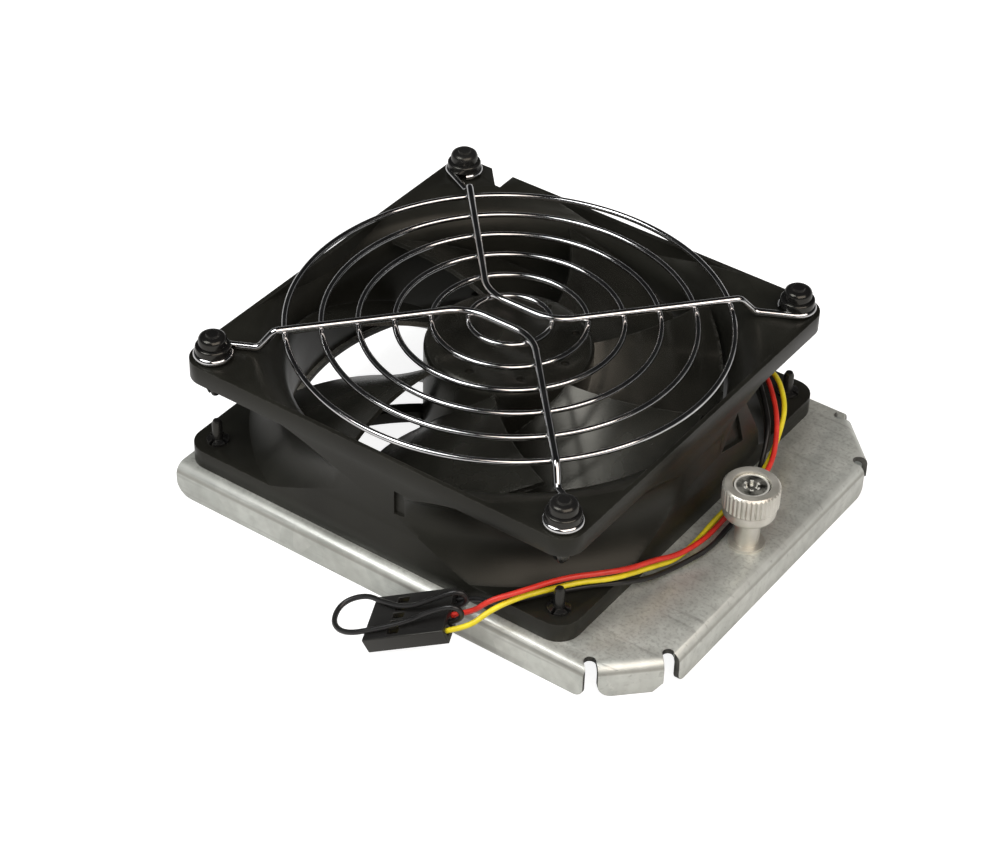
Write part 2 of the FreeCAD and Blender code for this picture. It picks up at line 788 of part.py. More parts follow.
def spoke_half():
    outer = RING_FIRST + RING_STEP * (RING_COUNT - 1)
    y0 = SPOKE_OFFSET
    eye = Vector(HOLE, HOLE, EYE_Z)
    flat_end = Vector(SPOKE_HALF_FLAT, y0, SPOKE_Z)
    aim = Vector(HOLE - SPOKE_HALF_FLAT, HOLE - y0, 0).normalize()
    r_step = outer + SPOKE_STEP_FROM_RING
    step_top = at_radius(flat_end, aim, r_step)
    step_low = at_radius(flat_end, aim, r_step + SPOKE_STEP_RUN)
    step_low.z = EYE_Z
    away = Vector(eye.x - step_low.x, eye.y - step_low.y, 0)
    lean = math.asin(EYE_R / away.Length)
    span = math.sqrt(away.Length ** 2 - EYE_R ** 2)
    heading = math.atan2(away.y, away.x) - lean
    touch = step_low + Vector(math.cos(heading), math.sin(heading), 0) * span
    points = [Vector(0, y0, SPOKE_Z), flat_end, step_top, step_low, touch]
    edges = bent_path(points, [SPOKE_BEND_R, SPOKE_STEP_R, SPOKE_STEP_R])
    base = math.atan2(touch.y - eye.y, touch.x - eye.x)
    marks = [base + math.radians(EYE_TURN * share) for share in (0, 0.5, 1)]
    loop = [eye + Vector(EYE_R * math.cos(a), EYE_R * math.sin(a), 0) for a in marks]
    edges.append(Part.Arc(*loop).toShape())
    return tube_along(edges, SPOKE_WIRE_R)


def at_radius(start, aim, r):
    b = start.x * aim.x + start.y * aim.y
    c = start.x ** 2 + start.y ** 2 - r ** 2
    return start + aim * (math.sqrt(b * b - c) - b)


def guard_spoke():
    half = spoke_half()
    return half.fuse(half.mirror(Vector(), Vector(1, 0, 0))).removeSplitter()


# Push rivets: split body and pushed-in pin at each corner, from above and from below

def rivet_body(grip, tail, barb, drop):
    """Head underside at z = 0, shank down."""
    r = HOLE_R - SHANK_PLAY
    tip = -grip - tail
    c = COLLAR_BEVEL
    b = COLLAR_BULGE
    body = spin([(PIN_R, COLLAR_T), (PIN_R, tip), (PIN_R + LEG_TIP_WALL, tip), (barb, -grip - drop),
                 (barb, -grip - drop + BARB_T), (r, -grip - BARB_START), (r, 0), (COLLAR_R, 0),
                 (COLLAR_R, COLLAR_T - c), (COLLAR_R - b, COLLAR_T - b, COLLAR_R - c, COLLAR_T)])
    slot = box(-COLLAR_R, COLLAR_R, -SPLIT / 2, SPLIT / 2, tip - 1, SPLIT_END - grip)
    return body.cut([slot, turned(slot, 90)])


def rivet_pin(grip):
    tip = -grip - PIN_REACH
    top = COLLAR_T + DOME_H
    edge = COLLAR_T + DOME_STEP_H
    shoulder = top - BUTTON_H
    bow_r = DOME_TOP_R + (DOME_R - DOME_TOP_R) * 0.7
    bow_z = edge + (shoulder - edge) * 0.57
    return spin([(0, tip), (PIN_R * 0.7, tip + PIN_POINT * 0.3, PIN_R, tip + PIN_POINT),
                 (PIN_R, COLLAR_T), (DOME_R, COLLAR_T), (DOME_R, edge),
                 (bow_r, bow_z, DOME_TOP_R, shoulder), (BUTTON_R, shoulder), (BUTTON_R * 0.9, top),
                 (0, top)])


def at_holes(shape, z, flip):
    copy = shape.copy()
    if flip:
        copy.rotate(Vector(), Vector(1, 0, 0), 180)
    return [moved(copy, sx * HOLE, sy * HOLE, z) for sx, sy in CORNERS]


# Thumbscrew: fixed ferrule, spring, washer, knob with its screw and top disc

def ferrule():
    bore = FERRULE_R - FERRULE_WALL
    lip_r = NECK_SCREW_R + RUN_PLAY
    z = FERRULE_STEP_Z
    foot = SHEET + FERRULE_FLARE_T
    flare_r = FERRULE_R + FERRULE_FLARE
    return spin([(bore, -foot), (flare_r, -foot), (flare_r, -SHEET),
                 (FERRULE_R, -SHEET), (FERRULE_R, 0), (FERRULE_FOOT_R, 0),
                 (FERRULE_FOOT_R, FERRULE_FOOT_T), (FERRULE_R, FERRULE_FOOT_T),
                 (FERRULE_R, FERRULE_H), (bore, FERRULE_H), (bore, z + FERRULE_STEP_T),
                 (lip_r, z + FERRULE_STEP_T), (lip_r, z), (bore, z)])


def knob():
    z0, z1 = KNOB_LIFT, KNOB_LIFT + BAND_H
    bore = FERRULE_R + RUN_PLAY
    band_r = KNOB_R - KNURL_DEPTH - BAND_STEP
    b = BAND_BOTTOM
    c = b * ARC_SHARE
    band = spin([(bore, z0), (band_r - b, z0), (band_r - c, z0 + c, band_r, z0 + b), (band_r, z1),
                 (bore, z1)])
    points = []
    for k in range(KNURL_COUNT):
        for share, r in ((0.0, KNOB_R - KNURL_DEPTH), (0.3, KNOB_R), (0.7, KNOB_R)):
            spot = polar(r, 360.0 * (k + share) / KNURL_COUNT)
            points.append((spot.x, spot.y))
    grip = moved(prism(points, on_floor, Vector(0, 0, KNURL_H)), 0, 0, z1)
    b = KNURL_BEVEL
    bevel = spin([(0, z1), (KNOB_R - b, z1), (KNOB_R, z1 + b), (KNOB_R, KNOB_TOP - b),
                  (KNOB_R - b, KNOB_TOP), (0, KNOB_TOP)])
    body = grip.common(bevel).fuse(band).removeSplitter()
    cuts = [rod(bore, z0 - 1, KNOB_CEILING), rod(NECK_SCREW_R, z0, KNOB_TOP + 1),
            rod(TOP_DISC_R, KNOB_TOP - TOP_RECESS - TOP_DISC_T, KNOB_TOP + 1)]
    return body.cut(cuts)


def knob_screw():
    disc_top = KNOB_TOP - TOP_RECESS
    disc_low = disc_top - TOP_DISC_T
    collar_top = FERRULE_STEP_Z - SCREW_COLLAR_GAP
    collar_low = collar_top - SCREW_COLLAR_T
    collar_r = FERRULE_R - FERRULE_WALL - RUN_PLAY
    tip = -SCREW_TIP
    b = THREAD_BEVEL
    d = TOP_DISC_BEVEL
    body = spin([(0, tip), (THREAD_R - b, tip), (THREAD_R, tip + b), (THREAD_R, collar_low),
                 (collar_r, collar_low), (collar_r, collar_top), (NECK_SCREW_R, collar_top),
                 (NECK_SCREW_R, disc_low), (TOP_DISC_R, disc_low), (TOP_DISC_R, disc_top - d),
                 (TOP_DISC_R - d, disc_top), (0, disc_top)])
    points = []
    for k in range(STAR_POINTS):
        for share, r in ((0.0, STAR_R), (0.5, STAR_WAIST)):
            spot = polar(r, 360.0 * (k + share) / STAR_POINTS)
            points.append((spot.x, spot.y))
    star = moved(prism(points, on_floor, Vector(0, 0, STAR_DEPTH + 1)), 0, 0, disc_top - STAR_DEPTH)
    return body.cut(star)


def knob_washer():
    return pipe(FERRULE_R, NECK_SCREW_R + RUN_PLAY, KNOB_CEILING - WASHER_T, KNOB_CEILING)


def knob_spring():
    r = (FERRULE_R - FERRULE_WALL + NECK_SCREW_R) / 2
    return coil(r, SPRING_WIRE_R, FERRULE_STEP_Z + FERRULE_STEP_T, KNOB_CEILING - WASHER_T,
                SPRING_TURNS)


# Leads: three wires from the gland to the connector, and a loop of black wire on it

def housing_axes():
    u = HOUSING_LONG / HOUSING_LONG.Length
    v = HOUSING_SIDE - u * HOUSING_SIDE.dot(u)
    v.normalize()
    return u, v, u.cross(v)


def in_housing(a, b, c):
    u, v, w = housing_axes()
    return HOUSING_CORNER + u * a + v * b + w * c


def seated(shape):
    u, v, w = housing_axes()
    matrix = FreeCAD.Matrix(u.x, v.x, w.x, 0, u.y, v.y, w.y, 0, u.z, v.z, w.z, 0, 0, 0, 0, 1)
    copy = shape.copy()
    copy.Placement = FreeCAD.Placement(HOUSING_CORNER, FreeCAD.Placement(matrix).Rotation)
    return copy


def way(k):
    return HOUSING_W / 2 + WAY_PITCH * (k - (WAY_COUNT - 1) / 2)


def connector_housing():
    body = box(0, HOUSING_L, 0, HOUSING_W, 0, HOUSING_T)
    edges = [edge for edge in body.Edges if abs(edge.tangentAt(0).x) > 0.9]
    body = body.makeFillet(HOUSING_ROUND, edges)
    half = WAY_SIZE / 2
    mid = HOUSING_T / 2
    cuts = []
    for k in range(WAY_COUNT):
        y = way(k)
        cuts.append(box(-1, HOUSING_L + 1, y - half, y + half, mid - half, mid + half))
        cuts.append(box(WINDOW_START, WINDOW_START + WINDOW_L, y - half, y + half, mid, HOUSING_T + 1))
    return seated(body.cut(cuts))


def connector_terminals():
    mid = HOUSING_T / 2
    half = WAY_SIZE / 2
    floor = mid - half
    x1 = HOUSING_L - LEAD_DEPTH
    x0 = x1 - TERMINAL_L
    rows = []
    for k in range(WAY_COUNT):
        y = way(k)
        body = box(x0, x1, y - half, y + half, floor, floor + TERMINAL_FLOOR)
        post = box(x1 - POST_L, x1, y - POST_W / 2, y + POST_W / 2, floor, mid + POST_OVER)
        tongue = box(x0, x0 + TONGUE_L, y - TONGUE_W / 2, y + TONGUE_W / 2, floor, mid + TONGUE_OVER)
        rows.append(seated(joined([body, post, tongue])))
    return rows


def lead(points):
    shape = tube_along(bent_path(points), LEAD_R)
    length = sum(edge.Length for edge in bent_path(points))
    ratio = shape.Volume / (math.pi * LEAD_R ** 2 * length)
    print("lead length %.1f, volume ratio %.4f" % (length, ratio))
    print("bend radii", " ".join("%.1f" % bend for bend in bends(points)))
    return shape


def bends(points):
    arcs = [edge for edge in bent_path(points) if edge.Curve.TypeId == "Part::GeomCircle"]
    return [arc.Curve.Radius for arc in arcs]


def lead_start(k):
    return Vector(GLAND_X, GLAND_Y + LEAD_PITCH * (k - 1), GLAND_Z)


def lead_end(k):
    y = way(k)
    mid = HOUSING_T / 2
    return [in_housing(HOUSING_L + LEAD_STRAIGHT, y, mid), in_housing(HOUSING_L - LEAD_DEPTH, y, mid)]


RED_ROUTE = [(36.6, 39.0, 9.5), (44.6, 30.2, 9.5), (48.2, 25.2, 7.4), (51.0, 19.3, 4.7),
             (51.7, 12.9, 3.8), (50.3, 7.4, 1.2), (50.6, 0.6, 1.1), (51.1, -6.4, 1.9),
             (50.4, -14.3, 3.2), (48.7, -20.0, 5.1), (48.3, -27.6, 8.2), (46.1, -32.2, 9.2),
             (39.8, -38.2, 8.7), (35.5, -46.1, 8.5), (31.6, -50.3, 7.3)]
YELLOW_ROUTE = [(38.0, 40.45, 9.5), (45.8, 32.4, 9.0), (47.9, 27.2, 5.8), (50.1, 18.1, 2.9),
                (50.0, 11.7, 2.2), (49.0, 6.6, 0.85), (49.1, 0.4, 0.85), (49.7, -6.3, 0.9),
                (49.7, -13.9, 1.4), (48.3, -19.6, 3.0), (48.1, -26.6, 6.2), (46.3, -32.1, 7.5),
                (42.2, -35.3, 7.0), (39.0, -39.6, 6.7), (35.3, -45.7, 6.9), (32.4, -51.0, 5.8)]
BLACK_ROUTE = [(35.4, 37.55, 9.5), (42.4, 30.2, 8.2), (46.4, 25.2, 6.8), (48.0, 20.2, 1.3),
               (50.0, 14.4, 0.85), (52.2, 8.5, 0.85), (52.3, 1.0, 0.85), (52.9, -6.2, 0.85),
               (51.5, -12.0, 0.85), (49.8, -17.5, 1.0), (48.9, -22.8, 2.4), (47.5, -28.4, 4.8),
               (43.1, -33.7, 5.4), (38.0, -39.4, 4.9), (34.3, -45.2, 5.1), (30.6, -48.6, 5.1)]


def lead_wire(start, route, end):
    points = [lead_start(start)] + [Vector(*p) for p in route] + lead_end(end)
    return lead(points)


def loop_wire():
    mid = HOUSING_T / 2
    top = HOUSING_T + LEAD_R
    a, b = way(1), way(3)
    end = HOUSING_L
    local = [(end - LEAD_DEPTH, a, mid), (end + 3.2, a, mid), (end + 3.4, a - 0.1, top + 2.4),
             (end - 3.0, a - 0.5, top + 1.6), (10.0, 2.7, top + 0.5), (3.0, 1.7, top + 0.4),
             (-4.0, 1.8, top + 0.0), (-7.9, 5.4, top - 0.1), (-7.4, 10.6, top - 0.1),
             (-2.2, 11.6, top + 0.2), (2.8, 8.6, top + 0.4), (8.5, 6.2, top + 0.5),
             (end - 3.0, b - 1.2, top + 1.6), (end + 3.4, b - 0.2, top + 2.4),
             (end + 3.2, b, mid), (end - LEAD_DEPTH, b, mid)]
    return lead([in_housing(*p) for p in local])


def place(shapes):
    whole = Part.makeCompound(shapes)
    whole.translate(Vector(FAN_X, 0, LIP_DEPTH))
    return whole


def nodes():
    grip_top = 2 * SPOKE_WIRE_R + FLANGE_T
    grip_low = SHEET + FLANGE_T
    at_knob = [moved(shape, KNOB_X, 0) for shape in (ferrule(), knob(), knob_screw(),
                                                      knob_washer(), knob_spring())]
    parts = {
        "bracket": [bracket()],
        "fan_frame": [fan_frame()],
        "lead_gland": [gland_block()],
        "impeller": [impeller()],
        "rotor_cup": [rotor_cup()],
        "rotor_bush": [rotor_bush()],
        "magnet_ring": [magnet_ring()],
        "shaft": [shaft()],
        "retaining_clip": [retaining_clip()],
        "bearing_outer_races": bearing_outer_races(),
        "bearing_inner_races": bearing_inner_races(),
        "bearing_balls": bearing_balls(),
        "bearing_tube": [bearing_tube()],
        "preload_springs": preload_springs(),
        "stator_core": [stator_core()],
        "stator_forms": stator_forms(),
        "stator_coils": stator_coils(),
        "circuit_board": [circuit_board()],
        "board_parts": board_parts(),
        "guard_spoke_back": [guard_spoke()],
        "guard_spoke_front": [guard_spoke().mirror(Vector(), Vector(0, 1, 0))],
        "top_rivet_bodies": at_holes(rivet_body(grip_top, TOP_TAIL, TOP_BARB_R, TOP_BARB_DROP),
                                     RIVET_TOP_Z, False),
        "top_rivet_pins": at_holes(rivet_pin(grip_top), RIVET_TOP_Z, False),
        "bottom_rivet_bodies": at_holes(rivet_body(grip_low, LOW_TAIL, LOW_BARB_R, LOW_BARB_DROP),
                                        -SHEET, True),
        "bottom_rivet_pins": at_holes(rivet_pin(grip_low), -SHEET, True),
        "knob_ferrule": [at_knob[0]],
        "knob": [at_knob[1]],
        "knob_screw": [at_knob[2]],
        "knob_washer": [at_knob[3]],
        "knob_spring": [at_knob[4]],
        "lead_red": [lead_wire(1, RED_ROUTE, 2)],
        "lead_yellow": [lead_wire(2, YELLOW_ROUTE, 0)],
        "lead_black": [lead_wire(0, BLACK_ROUTE, 4)],
        "loop_lead": [loop_wire()],
        "connector_housing": [connector_housing()],
        "connector_terminals": connector_terminals(),
    }
    for k in range(RING_COUNT):
        parts["guard_ring_%d" % (k + 1)] = [guard_ring(k)]
    return parts


os.makedirs("parts", exist_ok=True)
for name, shapes in nodes().items():
    place(shapes).exportStep("parts/%s.step" % name)
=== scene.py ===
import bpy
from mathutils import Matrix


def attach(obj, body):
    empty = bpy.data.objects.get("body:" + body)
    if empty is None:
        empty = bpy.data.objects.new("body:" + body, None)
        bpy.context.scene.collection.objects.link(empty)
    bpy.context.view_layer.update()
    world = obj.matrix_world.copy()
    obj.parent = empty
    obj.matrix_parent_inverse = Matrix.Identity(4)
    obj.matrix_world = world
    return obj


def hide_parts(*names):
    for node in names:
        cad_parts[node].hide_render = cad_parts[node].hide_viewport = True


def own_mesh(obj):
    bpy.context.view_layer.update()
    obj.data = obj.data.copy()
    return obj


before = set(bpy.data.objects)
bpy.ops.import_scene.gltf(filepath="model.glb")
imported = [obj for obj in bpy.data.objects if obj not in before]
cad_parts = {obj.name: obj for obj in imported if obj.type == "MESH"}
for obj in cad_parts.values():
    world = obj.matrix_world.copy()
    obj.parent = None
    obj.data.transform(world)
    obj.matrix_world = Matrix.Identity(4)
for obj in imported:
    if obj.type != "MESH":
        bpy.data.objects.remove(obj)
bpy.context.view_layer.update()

import math

import bmesh
import bpy
from mathutils import Matrix, Vector
from mathutils.bvhtree import BVHTree

# Bracket
# One folded sheet of zinc-coated steel, 1.2 mm, with lips on three sides and a tab across each
# front corner. It carries the fan on four push rivets and the thumbscrew in a pressed-in ferrule.

MM = 0.001
FAN_AXIS = Vector((-8.85, 0.0, 7.25))
SHEET = 1.2


def from_fan(x, y, z):
    """A point given in millimetres about the fan's axis, with z = 0 on the bracket's plate."""
    return (Vector((x, y, z)) + FAN_AXIS) * MM


def add(tree, kind, inputs=None, **settings):
    """A new node. Each named input gets a value, or a link when a socket is given."""
    made = tree.nodes.new(kind)
    for name, value in settings.items():
        setattr(made, name, value)
    for name, value in (inputs or {}).items():
        if isinstance(value, bpy.types.NodeSocket):
            tree.links.new(value, made.inputs[name])
        else:
            made.inputs[name].default_value = value
    return made


def new_group(name, kind, inputs, outputs):
    """An empty node group with named sockets; an input is its name, kind and value."""
    group = bpy.data.node_groups.new(name, kind)
    for label, socket, value in inputs:
        made = group.interface.new_socket(label, in_out="INPUT", socket_type=socket)
        if value is not None:
            made.default_value = value
    for label, socket in outputs:
        group.interface.new_socket(label, in_out="OUTPUT", socket_type=socket)
    start = group.nodes.new("NodeGroupInput")
    end = group.nodes.new("NodeGroupOutput")
    return group, start.outputs, end.inputs


def new_finish(name, **constants):
    """A material with a Principled shader and the values that are the same all over it."""
    finish = bpy.data.materials.new(name)
    finish.use_nodes = True
    tree = finish.node_tree
    shader = tree.nodes["Principled BSDF"]
    for label, value in constants.items():
        shader.inputs[label.replace("_", " ")].default_value = value
    place = tree.nodes.new("ShaderNodeTexCoord").outputs["Object"]
    return finish, tree, shader.inputs, place


def use(tree, group, **inputs):
    """Puts a shader group into a tree. The names of its inputs have _ for a space."""
    made = add(tree, "ShaderNodeGroup", node_tree=group)
    for label, value in inputs.items():
        socket = made.inputs[label.replace("_", " ")]
        if isinstance(value, bpy.types.NodeSocket):
            tree.links.new(value, socket)
        else:
            socket.default_value = value
    return made.outputs


def maths(tree, operation, *values):
    """The result of one Math node, each value a number or a socket."""
    return add(tree, "ShaderNodeMath", dict(enumerate(values)), operation=operation).outputs[0]


def noise(tree, place, scale, detail):
    return add(tree, "ShaderNodeTexNoise", {"Vector": place, "Scale": scale, "Detail": detail}).outputs[0]


def span(tree, value, low, high, to_low=0.0, to_high=1.0):
    """The value's way from low to high, as a way from to_low to to_high that stops at both ends."""
    limits = {"Value": value, "From Min": low, "From Max": high, "To Min": to_low, "To Max": to_high}
    return add(tree, "ShaderNodeMapRange", limits).outputs[0]


def band(tree, value, rise, fall):
    """Mask that is 1 between two slopes, each given by the value where it is 0 and where it is 1."""
    return maths(tree, "MULTIPLY", span(tree, value, *rise), span(tree, value, *fall))


def blend_colours(tree, share, first, second):
    return add(tree, "ShaderNodeMix", {0: share, 6: first, 7: second}, data_type="RGBA").outputs[2]


def tinted(tree, base, colour, mask, strength, low=0.0, high=1.0):
    """Lays a colour over the base as the mask goes from low to high, up to the given strength."""
    return blend_colours(tree, span(tree, mask, low, high, 0.0, strength), base, colour)


def edge_mask_group():
    """Mask that is 1 along outer edges, broken up by noise, for rubbed edges and for painted edge
    highlights.
    """
    group, given, out = new_group(
        "edge_wear", "ShaderNodeTree",
        [("Position", "NodeSocketVector", None), ("Width", "NodeSocketFloat", 0.0004)],
        [("Mask", "NodeSocketFloat")])
    soft = add(group, "ShaderNodeBevel", {"Radius": given["Width"]}, samples=4)
    true = add(group, "ShaderNodeNewGeometry")
    near = add(group, "ShaderNodeVectorMath", {0: soft.outputs[0], 1: true.outputs["Normal"]},
               operation="DOT_PRODUCT")
    edge = span(group, near.outputs["Value"], 0.995, 0.86)
    spots = span(group, noise(group, given["Position"], 900.0, 3.0), 0.35, 0.62)
    group.links.new(maths(group, "MULTIPLY", edge, spots), out["Mask"])
    return group


def fine_grain_group():
    """Fine moulded or rolled grain: a height for the bump and a slow colour change."""
    group, given, out = new_group(
        "fine_grain", "ShaderNodeTree",
        [("Position", "NodeSocketVector", None), ("Scale", "NodeSocketFloat", 3000.0),
         ("Patches", "NodeSocketFloat", 60.0)],
        [("Height", "NodeSocketFloat"), ("Patch", "NodeSocketFloat")])
    group.links.new(noise(group, given["Position"], given["Scale"], 3.0), out["Height"])
    group.links.new(noise(group, given["Position"], given["Patches"], 4.0), out["Patch"])
    return group


def hairline_group():
    """Thin scratches: stretched noise in one direction, cut to its brightest ridges."""
    group, given, out = new_group(
        "hairlines", "ShaderNodeTree",
        [("Position", "NodeSocketVector", None), ("Turn", "NodeSocketVector", None),
         ("Scale", "NodeSocketFloat", 900.0), ("Share", "NodeSocketFloat", 0.62)],
        [("Mask", "NodeSocketFloat")])
    turned = add(group, "ShaderNodeMapping",
                 {"Vector": given["Position"], "Rotation": given["Turn"], "Scale": (0.03, 1.0, 1.0)})
    lines = add(group, "ShaderNodeTexNoise",
                {"Vector": turned.outputs[0], "Scale": given["Scale"], "Detail": 2.0, "Distortion": 0.3})
    upper = maths(group, "ADD", given["Share"], 0.12)
    group.links.new(span(group, lines.outputs[0], given["Share"], upper), out["Mask"])
    return group


EDGE_MASK = edge_mask_group()
FINE_GRAIN = fine_grain_group()
HAIRLINES = hairline_group()


def bumped(tree, shader, height, strength, depth):
    """Bump from a height between 0 and 1, as deep as the given millimetres."""
    bump = add(tree, "ShaderNodeBump", {"Height": height, "Strength": strength, "Distance": depth * MM})
    tree.links.new(bump.outputs[0], shader["Normal"])


def zinc_sheet():
    """Cloudy zinc with specks where it is level, scratches and worn edges; along each bend a painted
    highlight and below it a band of painted shade.
    """
    finish, tree, shader, place = new_finish("zinc_sheet", Metallic=0.55)
    grain = use(tree, FINE_GRAIN, Position=place, Scale=1500.0, Patches=38.0)
    base = blend_colours(tree, span(tree, grain["Patch"], 0.32, 0.68), (0.49, 0.51, 0.47, 1),
                         (0.72, 0.75, 0.705, 1))
    cells = add(tree, "ShaderNodeTexVoronoi", {"Vector": place, "Scale": 210.0})
    spangle = add(tree, "ShaderNodeRGBToBW", {0: cells.outputs["Color"]}).outputs[0]
    base = tinted(tree, base, (0.79, 0.80, 0.75, 1), spangle, 0.3, 0.2, 0.9)
    cloud = noise(tree, place, 420.0, 5.0)
    base = tinted(tree, base, (0.33, 0.335, 0.31, 1), cloud, 0.35, 0.35, 0.7)
    normal = add(tree, "ShaderNodeNewGeometry").outputs["Normal"]
    upward = add(tree, "ShaderNodeSeparateXYZ", {0: normal}).outputs["Z"]
    specks = maths(tree, "MULTIPLY", span(tree, noise(tree, place, 1500.0, 4.0), 0.5, 0.64),
                   span(tree, upward, 0.9, 1.0))
    base = tinted(tree, base, (0.20, 0.20, 0.185, 1), specks, 0.3)
    # Painted shade: a dark band on the lower part of each bend, where it turns down into the lip.
    painted_bend_shade = band(tree, upward, (0.12, 0.24), (0.52, 0.36))
    base = tinted(tree, base, (0.26, 0.25, 0.22, 1), painted_bend_shade, 0.6)
    # Painted highlight: a pale band on the upper part of each bend, next to the plate.
    painted_bend_highlight = band(tree, upward, (0.5, 0.62), (0.97, 0.85))
    base = tinted(tree, base, (0.84, 0.87, 0.83, 1), painted_bend_highlight, 0.35)
    scratches = 0.0
    for turn, scale, share in ((0.5, 900.0, 0.62), (-0.9, 700.0, 0.65), (1.3, 1100.0, 0.65)):
        lines = use(tree, HAIRLINES, Position=place, Turn=(0, 0, turn), Scale=scale, Share=share)
        scratches = maths(tree, "MAXIMUM", scratches, lines["Mask"])
    base = tinted(tree, base, (0.22, 0.215, 0.20, 1), scratches, 0.35)
    wear = use(tree, EDGE_MASK, Position=place, Width=0.4 * MM)["Mask"]
    base = tinted(tree, base, (0.14, 0.14, 0.13, 1), wear, 0.6)
    tree.links.new(base, shader["Base Color"])
    rough = span(tree, grain["Patch"], 0.3, 0.7, 0.36, 0.48)
    smoother = span(tree, scratches, 0.0, 1.0, 0.0, 0.1)
    tree.links.new(maths(tree, "SUBTRACT", rough, smoother), shader["Roughness"])
    bumped(tree, shader, maths(tree, "SUBTRACT", grain["Height"], scratches), 0.35, 0.06)
    return finish


def linked(name, mesh):
    piece = bpy.data.objects.new(name, mesh)
    bpy.context.scene.collection.objects.link(piece)
    return piece


def mesh_from(work, name):
    """The mesh that the working mesh holds, which is freed."""
    mesh = bpy.data.meshes.new(name)
    work.to_mesh(mesh)
    work.free()
    return mesh


def copied(name, node):
    """A CAD node's mesh merged, with its flat faces in one piece, ready for finishing."""
    work = bmesh.new()
    work.from_mesh(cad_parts[node].data)
    bmesh.ops.remove_doubles(work, verts=work.verts, dist=0.002 * MM)
    bmesh.ops.dissolve_limit(work, angle_limit=math.radians(0.6), use_dissolve_boundaries=False,
                             verts=work.verts, edges=work.edges, delimit={"NORMAL"})
    return linked(name, mesh_from(work, name))


def settled(piece):
    """Turns the piece's modifiers into its plain mesh."""
    seen = piece.evaluated_get(bpy.context.evaluated_depsgraph_get())
    mesh = bpy.data.meshes.new_from_object(seen, preserve_all_data_layers=True,
                                           depsgraph=bpy.context.evaluated_depsgraph_get())
    piece.modifiers.clear()
    old = piece.data
    piece.data = mesh
    if old.users == 0:
        bpy.data.meshes.remove(old)
    return piece


def edges_rounded(piece, width, angle=30.0):
    """Bevels the edges where the faces turn by more than the angle."""
    bevel = piece.modifiers.new("edges", "BEVEL")
    bevel.width = width
    bevel.segments = 2
    bevel.limit_method = "ANGLE"
    bevel.angle_limit = math.radians(angle)
    bevel.harden_normals = False
    bevel.use_clamp_overlap = True
    settled(piece)
    shaded(piece)
    return piece


def shaded(piece, angle=32.0):
    """Smooth faces, with sharp edges where the faces turn by more than the angle."""
    piece.data.shade_smooth()
    piece.data.set_sharp_from_angle(angle=math.radians(angle))
    return piece


def finished(piece, body, finish, node):
    """Gives the piece its finish, unless it has it, and its body, and hides the node it stands for."""
    if finish.name not in piece.data.materials:
        piece.data.materials.clear()
        piece.data.materials.append(finish)
    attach(piece, body)
    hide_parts(node)


def raw_cut():
    """Bare steel, dark and dull, as a punch leaves it."""
    finish, tree, shader, place = new_finish("raw_cut_steel", Metallic=0.6, Roughness=0.5)
    grain = use(tree, FINE_GRAIN, Position=place, Scale=3000.0, Patches=500.0)
    tree.links.new(blend_colours(tree, span(tree, grain["Patch"], 0.3, 0.7), (0.04, 0.04, 0.036, 1),
                                 (0.11, 0.11, 0.10, 1)), shader["Base Color"])
    return finish


def cut_faces_marked(piece, thickness, sheet, cut):
    """The punched edges have more steel behind them than one thickness, and no zinc on them."""
    piece.data.materials.append(sheet)
    piece.data.materials.append(cut)
    solid = BVHTree.FromPolygons([v.co for v in piece.data.vertices],
                                 [tuple(face.vertices) for face in piece.data.polygons])
    just_inside, well_past = 0.01 * thickness, 1.6 * thickness
    for face in piece.data.polygons:
        start = face.center - face.normal * just_inside
        depth = solid.ray_cast(start, -face.normal)[3]
        if depth is not None and depth > well_past:
            face.material_index = 1
    return piece


ZINC_SHEET = zinc_sheet()
bracket = cut_faces_marked(copied("folded_bracket", "bracket"), SHEET * MM, ZINC_SHEET, raw_cut())
bracket = edges_rounded(bracket, 0.12 * MM)
finished(bracket, "base", ZINC_SHEET, "bracket")

# Fan frame
# One black moulding: two square flanges, a waisted duct with a flared mouth, four curved struts
# and the motor base. Push rivets clamp its lower flange to the bracket.


def grained(name, colours, rough, scale, patches, bump, depth, edge_tint=None, **constants):
    """A finish with fine grain and slow patches between two colours and two values of roughness.
    Given an edge colour, strength and width, its edges are tinted: rubbed wear, and on dark mouldings also
    a painted highlight."""
    finish, tree, shader, place = new_finish(name, **constants)
    grain = use(tree, FINE_GRAIN, Position=place, Scale=scale, Patches=patches)
    base = blend_colours(tree, span(tree, grain["Patch"], 0.3, 0.7), *colours)
    if edge_tint:
        colour, strength, width = edge_tint
        edges = use(tree, EDGE_MASK, Position=place, Width=width)["Mask"]
        base = tinted(tree, base, colour, edges, strength)
    tree.links.new(base, shader["Base Color"])
    tree.links.new(span(tree, grain["Patch"], 0.3, 0.7, *rough), shader["Roughness"])
    bumped(tree, shader, grain["Height"], bump, depth)
    return finish


def moulded_black(name, colour, rough, gloss, grain_scale=3500.0):
    """Dark plastic or rubber with a faintly warm shine, and edges a little paler: rubbed wear and a painted
    edge highlight.
    """
    dark, pale = [tuple(share * c for c in colour) + (1,) for share in (0.75, 1.5)]
    # The paler edge colour is partly rubbed wear and partly a painted edge highlight.
    return grained(name, (dark, pale), (rough - 0.05, rough + 0.08), scale=grain_scale, patches=70.0,
                   bump=0.18, depth=0.05, edge_tint=((0.07, 0.07, 0.065, 1), 0.35, 0.5 * MM),
                   Specular_IOR_Level=gloss, Specular_Tint=(1.0, 0.98, 0.88, 1.0))


FRAME_BLACK = moulded_black("frame_moulding", (0.0105, 0.0105, 0.0085), 0.33, 0.28)
fan_frame = edges_rounded(copied("fan_housing", "fan_frame"), 0.15 * MM)
finished(fan_frame, "base", FRAME_BLACK, "fan_frame")

# Lead gland
# The small block in the duct's wall where the three leads come out, moulded in soft black rubber.

